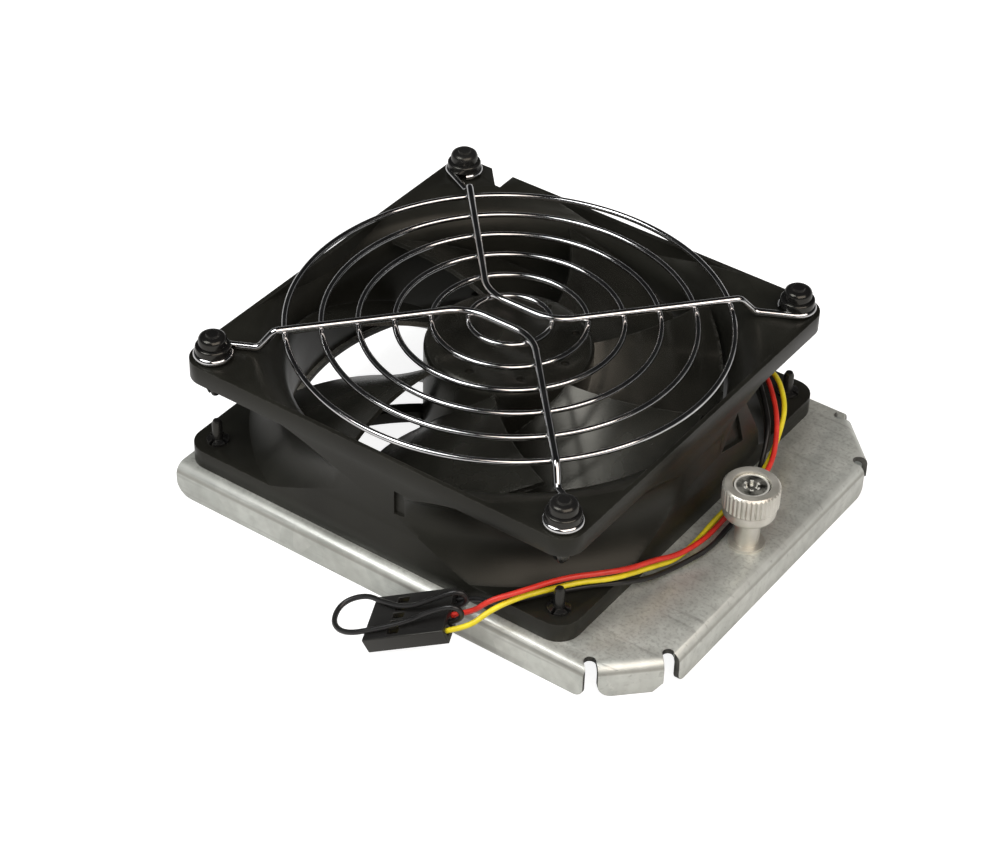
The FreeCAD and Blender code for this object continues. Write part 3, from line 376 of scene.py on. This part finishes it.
GLAND_BLACK = moulded_black("gland_rubber", (0.016, 0.016, 0.016), 0.55, 0.3)
gland = edges_rounded(copied("lead_grommet", "lead_gland"), 0.15 * MM)
finished(gland, "base", GLAND_BLACK, "lead_gland")

# Impeller
# One black moulding: a hub cup with eight balance pockets in its top, and seven cambered blades.
# It is fixed on the rotor cup and turns with it.

HUB_R = 17.0
HUB_IN = 16.0
HUB_FOOT = 4.4
HUB_TOP = 23.5
HUB_CEILING = 22.3
HUB_ROUND = 2.0
HUB_BELT = 4.0
POCKET_COUNT = 8
POCKET_R = 0.9
POCKET_AT = 13.4
POCKET_DEPTH = 0.7
BLADE_COUNT = 7
BLADE_FIRST = 229.0
BLADE_TURN = 58.0
BLADE_CAMBER = 0.28
BLADE_LEAN = 24.0
BLADE_REACH = 26.7
BLADE_T = 1.5
BLADE_THIN = 0.35
BLADE_LOW = 5.2
BLADE_HIGH = 21.8
BLADE_ROOT = HUB_IN + 0.4
BLADE_TIP = 43.0


def turned_solid(name, profile, steps):
    """A closed lathe shape about the fan's axis from (radius, height) points in millimetres."""
    work = bmesh.new()
    rings = []
    for r, z in profile:
        if r < 0.001:
            rings.append([work.verts.new((0, 0, z * MM))])
            continue
        ring = []
        for k in range(steps):
            a = 2 * math.pi * k / steps
            ring.append(work.verts.new((r * MM * math.cos(a), r * MM * math.sin(a), z * MM)))
        rings.append(ring)
    pairs = list(zip(rings, rings[1:] + rings[:1]))
    for low, high in pairs:
        if len(low) == 1 and len(high) == 1:
            continue
        for k in range(steps):
            corners = [low[k % len(low)], low[(k + 1) % len(low)],
                       high[(k + 1) % len(high)], high[k % len(high)]]
            unique = [v for i, v in enumerate(corners) if v not in corners[:i]]
            work.faces.new(unique)
    bmesh.ops.recalc_face_normals(work, faces=work.faces)
    return mesh_from(work, name)


def quarter_round(r, z, radius):
    """Points that round the outer top corner at (r, z)."""
    steps, points = 6, []
    for k in range(steps + 1):
        a = 0.5 * math.pi * k / steps
        points.append((r - radius + radius * math.cos(a), z - radius + radius * math.sin(a)))
    return points


def blade_angle(r, share):
    """Where the blade's middle stands about the axis, at a radius and a share of its height."""
    twist = BLADE_TURN * ((1 - BLADE_CAMBER) * share + BLADE_CAMBER * share ** 2 - 0.5)
    angle = twist
    for attempt in range(6):
        out = r * math.cos(math.radians(angle)) - HUB_R
        angle = twist + BLADE_LEAN * (out / BLADE_REACH - 0.5)
    return math.radians(angle)


def blade_mesh():
    """One cambered blade, twisted about the axis and leaning more toward its tip."""
    steps, stations, nudge = 18, 12, 0.01
    work = bmesh.new()
    loops = []
    rise = BLADE_HIGH - BLADE_LOW
    for j in range(stations + 1):
        r = BLADE_ROOT + (BLADE_TIP - BLADE_ROOT) * j / stations
        line = []
        for k in range(steps + 1):
            share = k / steps
            angle = blade_angle(r, share)
            slope = (blade_angle(r, share + nudge) - blade_angle(r, share - nudge)) / (2 * nudge) * r
            length = math.hypot(slope, rise)
            fullness = math.sin(math.pi * (0.15 + 0.7 * share))
            half = BLADE_T / 2 * (BLADE_THIN + (1 - BLADE_THIN) * fullness)
            line.append((angle, BLADE_LOW + rise * share, -rise / length * half / r, slope / length * half))
        loop = []
        for sign, points in ((1, line), (-1, line[::-1])):
            for angle, z, turn, lift in points:
                a = angle + sign * turn
                loop.append(work.verts.new((r * math.cos(a) * MM, r * math.sin(a) * MM,
                                            (z + sign * lift) * MM)))
        loops.append(loop)
    count = len(loops[0])
    for low, high in zip(loops, loops[1:]):
        for k in range(count):
            work.faces.new((low[k], low[(k + 1) % count], high[(k + 1) % count], high[k]))
    work.faces.new(loops[0])
    work.faces.new(loops[-1])
    bmesh.ops.recalc_face_normals(work, faces=work.faces)
    return mesh_from(work, "blade")


def realised(tree, given, out, shapes):
    """Ends a tree: its shapes are made real and get the finish."""
    real = add(tree, "GeometryNodeRealizeInstances", {0: shapes})
    end = add(tree, "GeometryNodeSetMaterial", {"Geometry": real.outputs[0], "Material": given["Finish"]})
    tree.links.new(end.outputs[0], out["Geometry"])
    return tree


def ring_of_copies_tree():
    """Copies of the given mesh turned about the Z axis at the origin."""
    tree, given, out = new_group(
        "ring_of_copies", "GeometryNodeTree",
        [("Geometry", "NodeSocketGeometry", None), ("Count", "NodeSocketInt", 7),
         ("First", "NodeSocketFloat", 0.0), ("Finish", "NodeSocketMaterial", None)],
        [("Geometry", "NodeSocketGeometry")])
    points = add(tree, "GeometryNodePoints", {"Count": given["Count"]})
    index = add(tree, "GeometryNodeInputIndex")
    share = maths(tree, "DIVIDE", index.outputs[0], given["Count"])
    angle = maths(tree, "MULTIPLY_ADD", share, 2 * math.pi, given["First"])
    turn = add(tree, "ShaderNodeCombineXYZ", {"Z": angle})
    copies = add(tree, "GeometryNodeInstanceOnPoints",
                 {"Points": points.outputs[0], "Instance": given["Geometry"], "Rotation": turn.outputs[0]})
    return realised(tree, given, out, copies.outputs[0])


def grown(name, mesh, tree, **sizes):
    """A piece whose mesh the tree makes from the given one."""
    piece = linked(name, mesh or bpy.data.meshes.new(name))
    grow = piece.modifiers.new("grow", "NODES")
    grow.node_group = tree
    for item in tree.interface.items_tree:
        label = item.name.replace(" ", "_")
        if item.in_out == "INPUT" and label in sizes:
            grow[item.identifier] = sizes.pop(label)
    assert not sizes, sizes
    return settled(piece)


def moved(piece, shift):
    """Shifts the piece's mesh, so that the piece itself stays at the origin."""
    piece.data.transform(Matrix.Translation(shift))
    return piece


def united(name, *pieces):
    """One piece from several closed ones that touch, each kept as its own shell."""
    work = bmesh.new()
    for piece in pieces:
        work.from_mesh(piece.data)
    mesh = mesh_from(work, name)
    for slot in pieces[0].data.materials:
        mesh.materials.append(slot)
    for piece in pieces:
        bpy.data.objects.remove(piece)
    return linked(name, mesh)


def cut_with(piece, tool):
    """Takes the tool's volume out of the piece."""
    cut = piece.modifiers.new("cut", "BOOLEAN")
    cut.operation = "DIFFERENCE"
    cut.solver = "EXACT"
    cut.object = tool
    settled(piece)
    bpy.data.objects.remove(tool)
    return piece


RING_OF_COPIES = ring_of_copies_tree()
BLADE_BLACK = moulded_black("impeller_moulding", (0.011, 0.011, 0.009), 0.22, 0.55, 2500.0)
hub_profile = [(HUB_IN, HUB_FOOT), (HUB_R, HUB_FOOT), (HUB_R, HUB_TOP - HUB_ROUND - HUB_BELT)]
hub_profile += quarter_round(HUB_R, HUB_TOP, HUB_ROUND) + [(0, HUB_TOP), (0, HUB_CEILING),
                                                           (HUB_IN, HUB_CEILING)]
hub = linked("hub", turned_solid("hub", hub_profile, 96))
pocket_floor = HUB_TOP - POCKET_DEPTH
pocket = turned_solid("pocket", [(0, pocket_floor), (POCKET_R, pocket_floor), (POCKET_R, HUB_TOP + 1),
                                 (0, HUB_TOP + 1)], 20)
pocket.transform(Matrix.Translation((POCKET_AT * MM, 0, 0)))
pockets = grown("pockets", pocket, RING_OF_COPIES, Count=POCKET_COUNT, First=0.0, Finish=BLADE_BLACK)
cut_with(hub, pockets)
blades = grown("blades", blade_mesh(), RING_OF_COPIES, Count=BLADE_COUNT,
               First=math.radians(BLADE_FIRST), Finish=BLADE_BLACK)
hub.data.materials.append(BLADE_BLACK)
impeller = moved(shaded(united("fan_impeller", hub, blades)), FAN_AXIS * MM)
finished(impeller, "rotor", BLADE_BLACK, "impeller")

# Motor
# An outer rotor on a shaft in two ball bearings, a four-pole stator and its board, all inside the
# hub. Their CAD solids are right as they are and get their own finishes.


def plain_metal(name, colour, rough, patchy=0.2, metallic=1.0):
    """An even finish for hidden parts, metal unless metallic is 0."""
    dark = tuple((1 - patchy) * c for c in colour) + (1,)
    return grained(name, (dark, colour + (1,)), (rough, rough + 0.1), scale=2200.0, patches=160.0,
                   bump=0.12, depth=0.03, Metallic=metallic)


def winding_copper():
    """Enamelled wire laid in rows."""
    finish, tree, shader, place = new_finish("winding_copper", Metallic=1.0, Roughness=0.3)
    rows = add(tree, "ShaderNodeTexWave", {"Vector": place, "Scale": 1600.0, "Distortion": 0.4},
               wave_type="BANDS", bands_direction="Z")
    base = blend_colours(tree, rows.outputs["Fac"], (0.42, 0.14, 0.05, 1), (0.80, 0.36, 0.16, 1))
    tree.links.new(base, shader["Base Color"])
    bumped(tree, shader, rows.outputs["Fac"], 0.5, 0.1)
    return finish


def dressed(node, finish):
    """Gives a CAD node that stays as it is its own finish."""
    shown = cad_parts[node]
    shown.data.materials.clear()
    shown.data.materials.append(finish)


MOTOR_STEEL = plain_metal("motor_steel", (0.55, 0.55, 0.56), 0.3)
RACE_STEEL = plain_metal("race_steel", (0.70, 0.70, 0.71), 0.14, 0.08)
MAGNET_GREY = plain_metal("bonded_magnet", (0.05, 0.05, 0.055), 0.6, 0.3, 0.0)
CORE_STEEL = plain_metal("core_steel", (0.38, 0.38, 0.40), 0.4)
BUSH_BRASS = plain_metal("bush_brass", (0.78, 0.58, 0.26), 0.25)
FORM_WHITE = plain_metal("form_plastic", (0.75, 0.73, 0.66), 0.45, 0.1, 0.0)
BOARD_GREEN = plain_metal("board_green", (0.02, 0.17, 0.06), 0.35, 0.3, 0.0)
CHIP_BLACK = moulded_black("chip_black", (0.02, 0.02, 0.02), 0.5, 0.4)
for node, finish in (("rotor_cup", MOTOR_STEEL), ("rotor_bush", BUSH_BRASS), ("magnet_ring", MAGNET_GREY),
                     ("shaft", RACE_STEEL), ("retaining_clip", MOTOR_STEEL),
                     ("bearing_outer_races", RACE_STEEL), ("bearing_inner_races", RACE_STEEL),
                     ("bearing_balls", RACE_STEEL), ("bearing_tube", BUSH_BRASS),
                     ("preload_springs", MOTOR_STEEL), ("stator_core", CORE_STEEL),
                     ("stator_forms", FORM_WHITE), ("stator_coils", winding_copper()),
                     ("circuit_board", BOARD_GREEN), ("board_parts", CHIP_BLACK)):
    dressed(node, finish)

# Finger guard
# Six round wire rings welded under two bent spoke wires, all chrome plated. The spokes end in eyes
# that the top rivets hold on the fan's upper flange.

RING_FIRST = 8.2
RING_STEP = 7.21
RING_COUNT = 6
RING_WIRE = 0.6
RING_LEVEL = 28.0


def wire_ring_tree():
    """A round wire bent to a closed ring."""
    tree, given, out = new_group(
        "wire_ring", "GeometryNodeTree",
        [("Geometry", "NodeSocketGeometry", None), ("Radius", "NodeSocketFloat", 0.01),
         ("Wire Radius", "NodeSocketFloat", 0.0006), ("Finish", "NodeSocketMaterial", None)],
        [("Geometry", "NodeSocketGeometry")])
    path, section = [add(tree, "GeometryNodeCurvePrimitiveCircle", {"Resolution": count, "Radius": radius})
                     for count, radius in ((160, given["Radius"]), (16, given["Wire Radius"]))]
    wire = add(tree, "GeometryNodeCurveToMesh",
               {"Curve": path.outputs[0], "Profile Curve": section.outputs[0]})
    return realised(tree, given, out, wire.outputs[0])


CHROME = grained("chrome_plating", ((0.56, 0.56, 0.57, 1), (0.78, 0.78, 0.78, 1)), (0.07, 0.16),
                 scale=1400.0, patches=220.0, bump=0.08, depth=0.03, Metallic=1.0)
WIRE_RING = wire_ring_tree()
for k in range(RING_COUNT):
    ring = grown("guard_ring_wire_%d" % (k + 1), None, WIRE_RING, Radius=(RING_FIRST + RING_STEP * k) * MM,
                 Wire_Radius=RING_WIRE * MM, Finish=CHROME)
    moved(shaded(ring, 60), from_fan(0, 0, RING_LEVEL))
    finished(ring, "base", CHROME, "guard_ring_%d" % (k + 1))
for name in ("back", "front"):
    dressed("guard_spoke_" + name, CHROME)

# Push rivets
# Black nylon rivets in two parts: a split body with a round collar, and a flat-headed pin pushed
# into it that spreads the legs. Four hold guard and fan at the top, four hold fan and bracket.

HOLE_PITCH = 82.5
SHANK_R = 2.1
PIN_R = 1.05
LEG_END = PIN_R + 0.35
BARB_H = 0.4
COLLAR_R = 3.55
COLLAR_T = 1.5
HEAD_R = 2.85
HEAD_H = 2.5
SLOT = 0.7
SLOT_END = 1.5
# The pin's outline: its radius and how far that lies past the grip, or above the collar.
PIN_TIP = [(0, 5.4), (PIN_R * 0.7, 5.1), (PIN_R, 4.4)]
PIN_HEAD = [(HEAD_R - 0.1, 0.0), (HEAD_R, 0.1), (HEAD_R, 1.2), (2.63, 1.75), (2.1, HEAD_H - 0.35),
            (1.43, HEAD_H - 0.35), (1.29, HEAD_H), (0, HEAD_H)]
TOP_RIVET = {"grip": 5.6, "tail": 4.3, "barb": 2.7, "drop": 1.2}
BOTTOM_RIVET = {"grip": 5.3, "tail": 0.8, "barb": 2.3, "drop": 0.55}
TOP_SEAT = 26.5


def at_corners_tree():
    """The given rivet at the four corners of a square, or upside down there."""
    tree, given, out = new_group(
        "at_corners", "GeometryNodeTree",
        [("Geometry", "NodeSocketGeometry", None), ("Pitch", "NodeSocketFloat", 0.08),
         ("Turn", "NodeSocketFloat", 0.0), ("Finish", "NodeSocketMaterial", None)],
        [("Geometry", "NodeSocketGeometry")])
    square = add(tree, "GeometryNodeMeshGrid", {"Size X": given["Pitch"], "Size Y": given["Pitch"],
                                                "Vertices X": 2, "Vertices Y": 2})
    turn = add(tree, "ShaderNodeCombineXYZ", {"X": given["Turn"]})
    copies = add(tree, "GeometryNodeInstanceOnPoints",
                 {"Points": square.outputs[0], "Instance": given["Geometry"], "Rotation": turn.outputs[0]})
    return realised(tree, given, out, copies.outputs[0])


def block(name, width, depth, low, high):
    """A closed box about the Z axis, in millimetres."""
    work = bmesh.new()
    bmesh.ops.create_cube(work, size=1.0)
    bmesh.ops.scale(work, vec=(width * MM, depth * MM, (high - low) * MM), verts=work.verts)
    bmesh.ops.translate(work, vec=(0, 0, (high + low) / 2 * MM), verts=work.verts)
    return linked(name, mesh_from(work, name))


def rivet_body(grip, tail, barb, drop):
    """A collar on a slotted shank. Its tail goes on past the grip, and the barb lies a drop past it."""
    tip, round_off = -grip - tail, 0.5
    profile = [(PIN_R, COLLAR_T), (PIN_R, tip), (LEG_END, tip), (barb, -grip - drop),
               (barb, -grip - drop + BARB_H), (SHANK_R, -grip - 0.1), (SHANK_R, 0), (COLLAR_R, 0),
               (COLLAR_R, COLLAR_T - round_off)]
    profile += quarter_round(COLLAR_R, COLLAR_T, round_off)[1:]
    body = linked("rivet_body", turned_solid("rivet_body", profile, 48))
    for width, depth in ((SLOT, 2.2 * COLLAR_R), (2.2 * COLLAR_R, SLOT)):
        cut_with(body, block("slot", width, depth, tip - 1, SLOT_END - grip))
    mesh = body.data
    bpy.data.objects.remove(body)
    return mesh


def rivet_pin(grip):
    """A pin from its tip past the grip to its head on the collar."""
    profile = [(r, -grip - deep) for r, deep in PIN_TIP] + [(PIN_R, COLLAR_T)]
    profile += [(r, COLLAR_T + high) for r, high in PIN_HEAD]
    return turned_solid("rivet_pin", profile, 48)


AT_CORNERS = at_corners_tree()
NYLON = moulded_black("rivet_nylon", (0.008, 0.008, 0.008), 0.2, 0.5, 2500.0)
for name, level, turn, sizes in (("top", TOP_SEAT, 0.0, TOP_RIVET),
                                 ("bottom", -SHEET, math.pi, BOTTOM_RIVET)):
    for kind, mesh in (("bodies", rivet_body(**sizes)), ("pins", rivet_pin(sizes["grip"]))):
        piece = grown("nylon_%s_rivet_%s" % (name, kind), mesh, AT_CORNERS, Pitch=HOLE_PITCH * MM,
                      Turn=turn, Finish=NYLON)
        moved(shaded(piece, 40), from_fan(0, 0, level))
        finished(piece, "base", NYLON, "%s_rivet_%s" % (name, kind))

# Thumbscrew
# A nickel-plated captive screw: a knurled knob with a recessed black disc, on a ferrule pressed
# into the bracket. A spring under the knob lifts the screw when it is undone.

SCREW_X = 48.15
DISC_TOP = 21.55
DISC_STEP = 1.2
DISC_R = 3.5
RIM_R = 3.2
GLINT_COUNT = 6


def screw_plating():
    """Nickel on the screw and a blackened disc on its top, with painted highlights: a bright ring at the
    disc's edge and a ring of glints.
    """
    finish, tree, shader, place = new_finish("screw_plating", Metallic=1.0)
    grain = use(tree, FINE_GRAIN, Position=place, Scale=2600.0, Patches=500.0)
    spot = add(tree, "ShaderNodeVectorMath", {0: place, 1: (SCREW_X * MM, 0.0, 0.0)}, operation="SUBTRACT")
    x, y, z = add(tree, "ShaderNodeSeparateXYZ", {0: spot.outputs[0]}).outputs
    flat = add(tree, "ShaderNodeCombineXYZ", {"X": x, "Y": y})
    out = add(tree, "ShaderNodeVectorMath", {0: flat.outputs[0]}, operation="LENGTH").outputs["Value"]
    on_disc = span(tree, out, DISC_R * MM, (DISC_R - 0.2) * MM)
    on_top = span(tree, z, (DISC_TOP - DISC_STEP) * MM, (DISC_TOP - DISC_STEP + 0.2) * MM)
    black = maths(tree, "MULTIPLY", on_disc, on_top)
    plate = blend_colours(tree, span(tree, grain["Patch"], 0.3, 0.7), (0.50, 0.49, 0.45, 1),
                          (0.70, 0.69, 0.65, 1))
    dark = blend_colours(tree, span(tree, grain["Patch"], 0.35, 0.65), (0.012, 0.012, 0.01, 1),
                         (0.20, 0.20, 0.18, 1))
    base = blend_colours(tree, black, plate, dark)
    # Painted highlights: six glints in a ring round the disc's middle, and a bright ring at the disc's edge
    # whose mask also lightens the plating beyond it.
    turn = maths(tree, "MULTIPLY", maths(tree, "ARCTAN2", y, x), GLINT_COUNT)
    lobes = span(tree, maths(tree, "COSINE", turn), 0.0, 0.5)
    ring = band(tree, out, (0.8 * MM, 0.95 * MM), (1.75 * MM, 1.55 * MM))
    rim = span(tree, out, (RIM_R - 0.3) * MM, RIM_R * MM, 0.0, 0.8)
    painted_highlights = maths(tree, "MAXIMUM", maths(tree, "MULTIPLY", ring, lobes), rim)
    tree.links.new(blend_colours(tree, painted_highlights, base, (0.86, 0.86, 0.80, 1)), shader["Base Color"])
    tree.links.new(span(tree, black, 0.0, 1.0, 1.0, 0.35), shader["Metallic"])
    tree.links.new(span(tree, grain["Patch"], 0.3, 0.7, 0.16, 0.34), shader["Roughness"])
    bumped(tree, shader, grain["Height"], 0.3, 0.06)
    return finish


NICKEL = grained("nickel_plating", ((0.56, 0.545, 0.485, 1), (0.72, 0.705, 0.64, 1)), (0.32, 0.44),
                 scale=2600.0, patches=300.0, bump=0.15, depth=0.04,
                 edge_tint=((0.88, 0.87, 0.84, 1), 0.6, 0.3 * MM), Metallic=0.72)
knob = edges_rounded(copied("knurled_knob", "knob"), 0.06 * MM, 35)
finished(knob, "thumbscrew", NICKEL, "knob")
dressed("knob_ferrule", NICKEL)
dressed("knob_screw", screw_plating())
dressed("knob_washer", NICKEL)
spring = copied("thumbscrew_spring", "knob_spring")
finished(spring, "base", MOTOR_STEEL, "knob_spring")
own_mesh(spring)

# Leads and their connector
# Three stranded wires in red, yellow and black insulation run from the gland to a black housing
# with five ways, and a short black wire joins two of its ways. They are limp and lie as they fell.

LEAD_R = 0.54
HOUSING_L = 17.0
HOUSING_W = 11.4
HOUSING_T = 3.45
HOUSING_CORNER = Vector((13.1, -62.5, -7.25))
HOUSING_LONG = Vector((14.6, 5.2, 6.65)).normalized()
HOUSING_SIDE = Vector((-4.5, 10.4, 1.15))
HOUSING_SIDE = (HOUSING_SIDE - HOUSING_LONG * HOUSING_SIDE.dot(HOUSING_LONG)).normalized()
WAY_PITCH = 2.0


def in_housing(a, b, c):
    """A point given along, across and up from the housing's corner, about the fan's axis."""
    up = HOUSING_LONG.cross(HOUSING_SIDE)
    return HOUSING_CORNER + HOUSING_LONG * a + HOUSING_SIDE * b + up * c


def way(k):
    """How far across the housing its way k lies, counted from 0."""
    return HOUSING_W / 2 + WAY_PITCH * (k - 2)


def insulation(name, colour, dark):
    """Soft coloured plastic with a thin shine."""
    return grained(name, (dark, colour), (0.34, 0.46), scale=4000.0, patches=350.0, bump=0.1, depth=0.04,
                   Coat_Weight=0.12)


def laid(name, points, finish, node):
    """A limp wire, a smooth NURBS line along the given route, that ends at the connector."""
    curve = bpy.data.curves.new(name, "CURVE")
    curve.dimensions = "3D"
    curve.bevel_depth = LEAD_R * MM
    curve.bevel_resolution = 4
    curve.use_fill_caps = True
    spline = curve.splines.new("NURBS")
    spline.points.add(len(points) - 1)
    for point, place in zip(spline.points, points):
        point.co = tuple(from_fan(*place)) + (1.0,)
    spline.order_u = 3
    spline.use_endpoint_u = True
    spline.resolution_u = 12
    curve.materials.append(finish)
    wire = linked(name, curve)
    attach(wire, "base")
    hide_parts(node)


CONNECTOR_BLACK = moulded_black("connector_moulding", (0.012, 0.012, 0.012), 0.32, 0.45)
CONTACT = plain_metal("contact_brass", (0.72, 0.62, 0.22), 0.3)
housing = edges_rounded(copied("connector_block", "connector_housing"), 0.1 * MM)
finished(housing, "base", CONNECTOR_BLACK, "connector_housing")
dressed("connector_terminals", CONTACT)

RED_ROUTE = [(31.5, 39.0, 9.5), (36.6, 39.0, 9.5), (44.6, 30.2, 9.5), (48.2, 25.2, 7.4), (51.0, 19.3, 4.7),
             (51.7, 12.9, 3.8), (50.3, 7.4, 1.2), (50.6, 0.6, 1.1), (51.1, -6.4, 1.9),
             (50.4, -14.3, 3.2), (48.7, -20.0, 5.1), (48.3, -27.6, 8.2), (46.1, -32.2, 9.2),
             (39.8, -38.2, 8.7), (35.5, -46.1, 8.5), (31.6, -50.3, 7.3)]
YELLOW_ROUTE = [(31.5, 40.45, 9.5), (38.0, 40.45, 9.5), (45.8, 32.4, 9.0), (47.9, 27.2, 5.8),
                (50.1, 18.1, 2.9), (50.0, 11.7, 2.2), (49.0, 6.6, 0.85), (49.1, 0.4, 0.85),
                (49.7, -6.3, 0.9), (49.7, -13.9, 1.4), (48.3, -19.6, 3.0), (48.1, -26.6, 6.2),
                (46.3, -32.1, 7.5), (42.2, -35.3, 7.0), (39.0, -39.6, 6.7), (35.3, -45.7, 6.9),
                (32.4, -51.0, 5.8)]
BLACK_ROUTE = [(31.5, 37.55, 9.5), (35.4, 37.55, 9.5), (42.4, 30.2, 8.2), (46.4, 25.2, 6.8),
               (48.0, 20.2, 1.3), (50.0, 14.4, 0.85), (52.2, 8.5, 0.85), (52.3, 1.0, 0.85),
               (52.9, -6.2, 0.85), (51.5, -12.0, 0.85), (49.8, -17.5, 1.0), (48.9, -22.8, 2.4),
               (47.5, -28.4, 4.8), (43.1, -33.7, 5.4), (38.0, -39.4, 4.9), (34.3, -45.2, 5.1),
               (30.6, -48.6, 5.1)]

WIRE_BLACK = insulation("black_insulation", (0.012, 0.012, 0.012, 1), (0.007, 0.007, 0.007, 1))
WIRE_RED = insulation("red_insulation", (0.72, 0.035, 0.02, 1), (0.52, 0.02, 0.012, 1))
WIRE_YELLOW = insulation("yellow_insulation", (0.87, 0.74, 0.02, 1), (0.68, 0.55, 0.01, 1))
mid = HOUSING_T / 2
for colour, route, k, finish in (("red", RED_ROUTE, 2, WIRE_RED), ("yellow", YELLOW_ROUTE, 0, WIRE_YELLOW),
                                 ("black", BLACK_ROUTE, 4, WIRE_BLACK)):
    ends = [in_housing(HOUSING_L + 4, way(k), mid), in_housing(HOUSING_L - 3, way(k), mid)]
    laid(colour + "_wire", route + ends, finish, "lead_" + colour)

top = HOUSING_T + LEAD_R
a, b = way(1), way(3)
LOOP_ROUTE = [(14.0, a, mid), (20.2, a, mid), (20.4, a - 0.1, top + 2.4), (14.0, a - 0.5, top + 1.6),
              (10.0, 2.7, top + 0.5), (3.0, 1.7, top + 0.4), (-4.0, 1.8, top), (-7.9, 5.4, top - 0.1),
              (-7.4, 10.6, top - 0.1), (-2.2, 11.6, top + 0.2), (2.8, 8.6, top + 0.4),
              (8.5, 6.2, top + 0.5), (14.0, b - 1.2, top + 1.6), (20.4, b - 0.2, top + 2.4),
              (20.2, b, mid), (14.0, b, mid)]
laid("loop_wire", [in_housing(*p) for p in LOOP_ROUTE], WIRE_BLACK, "loop_lead")

# Floor, light and camera
# A plain white floor under two soft boxes and a pale sky, and the camera at the photograph's angle.

FLOOR_HALF = 6.0
FLOOR_LEVEL = -0.1 * MM
LIT_POINT = Vector((0, 0, 0.02))


def white_floor():
    """Pale matt floor that the camera sees as white and that shines less in reflections."""
    finish, tree, shader, place = new_finish("white_floor", Roughness=0.9, Specular_IOR_Level=0.1)
    shader["Base Color"].default_value = (0.45, 0.45, 0.45, 1)
    path = add(tree, "ShaderNodeLightPath")
    seen = maths(tree, "MAXIMUM", path.outputs["Is Camera Ray"], path.outputs["Is Glossy Ray"])
    seen = maths(tree, "MAXIMUM", seen, path.outputs["Is Transmission Ray"])
    shader["Emission Color"].default_value = (1, 1, 1, 1)
    glow = span(tree, path.outputs["Is Camera Ray"], 0.0, 1.0, 0.28, 0.88)
    tree.links.new(maths(tree, "MULTIPLY", seen, glow), shader["Emission Strength"])
    return finish


floor_mesh = bpy.data.meshes.new("floor")
floor_mesh.from_pydata([(x * FLOOR_HALF, y * FLOOR_HALF, FLOOR_LEVEL)
                        for x, y in ((-1, -1), (1, -1), (1, 1), (-1, 1))], [], [(0, 1, 2, 3)])
floor = linked("floor", floor_mesh)
floor.data.materials.append(white_floor())


def soft_box(name, place, size, power, colour=(1.0, 1.0, 1.0)):
    """A rectangular lamp that faces the middle of the part."""
    lamp = bpy.data.lights.new(name, "AREA")
    lamp.shape = "RECTANGLE"
    lamp.size, lamp.size_y = size
    lamp.energy = power
    lamp.color = colour
    holder = bpy.data.objects.new(name, lamp)
    holder.location = place
    holder.rotation_mode = "QUATERNION"
    holder.rotation_quaternion = (LIT_POINT - Vector(place)).to_track_quat("-Z", "Y")
    bpy.context.scene.collection.objects.link(holder)


soft_box("key", (-0.31, -0.49, 0.82), (0.55, 0.55), 5.2)
soft_box("side", (0.54, -0.24, 0.64), (0.9, 0.6), 5.0, (1.0, 0.89, 0.81))

# The sky is brighter overhead as light, darker overhead in reflections and white behind the part.
world = bpy.data.worlds.new("studio")
bpy.context.scene.world = world
world.use_nodes = True
tree = world.node_tree
sky = tree.nodes["Background"]
up = add(tree, "ShaderNodeTexCoord").outputs["Generated"]
height = add(tree, "ShaderNodeSeparateXYZ", {0: up}).outputs["Z"]
dome = span(tree, height, 0.05, 0.5, 0.3, 0.5)
ceiling = span(tree, height, 0.02, 0.32, 0.35, 0.012)
path = add(tree, "ShaderNodeLightPath")
level = add(tree, "ShaderNodeMix", {0: path.outputs["Is Glossy Ray"], 2: dome, 3: ceiling},
            data_type="FLOAT")
level = add(tree, "ShaderNodeMix", {0: path.outputs["Is Camera Ray"], 2: level.outputs[0], 3: 1.0},
            data_type="FLOAT")
tree.links.new(level.outputs[0], sky.inputs["Strength"])
sky.inputs["Color"].default_value = (1, 1, 1, 1)

AZIMUTH = math.radians(34.544)
ELEVATION = math.radians(38.425)
ROLL = math.radians(1.673)
FOCAL_LENGTH = 97.56
# How far right of, above and back from the fan's axis the camera stands, in its own directions.
CAMERA_SHIFT = Vector((-1.297, 0.613, 550.2))
back = Vector((math.sin(AZIMUTH) * math.cos(ELEVATION), -math.cos(AZIMUTH) * math.cos(ELEVATION),
               math.sin(ELEVATION)))
right = Vector((math.cos(AZIMUTH), math.sin(AZIMUTH), 0))
above = back.cross(right)
right, above = (right * math.cos(ROLL) + above * math.sin(ROLL),
                above * math.cos(ROLL) - right * math.sin(ROLL))
lens = bpy.data.cameras.new("camera")
lens.lens = FOCAL_LENGTH
lens.sensor_width = 36.0
lens.sensor_fit = "HORIZONTAL"
lens.clip_start = 0.01
lens.clip_end = 20.0
camera = bpy.data.objects.new("camera", lens)
axes = Matrix((right, above, back)).transposed()
camera.matrix_world = Matrix.Translation(from_fan(*(axes @ CAMERA_SHIFT))) @ axes.to_4x4()
bpy.context.scene.collection.objects.link(camera)
bpy.context.scene.camera = camera

scene = bpy.context.scene
scene.view_settings.view_transform = "Standard"
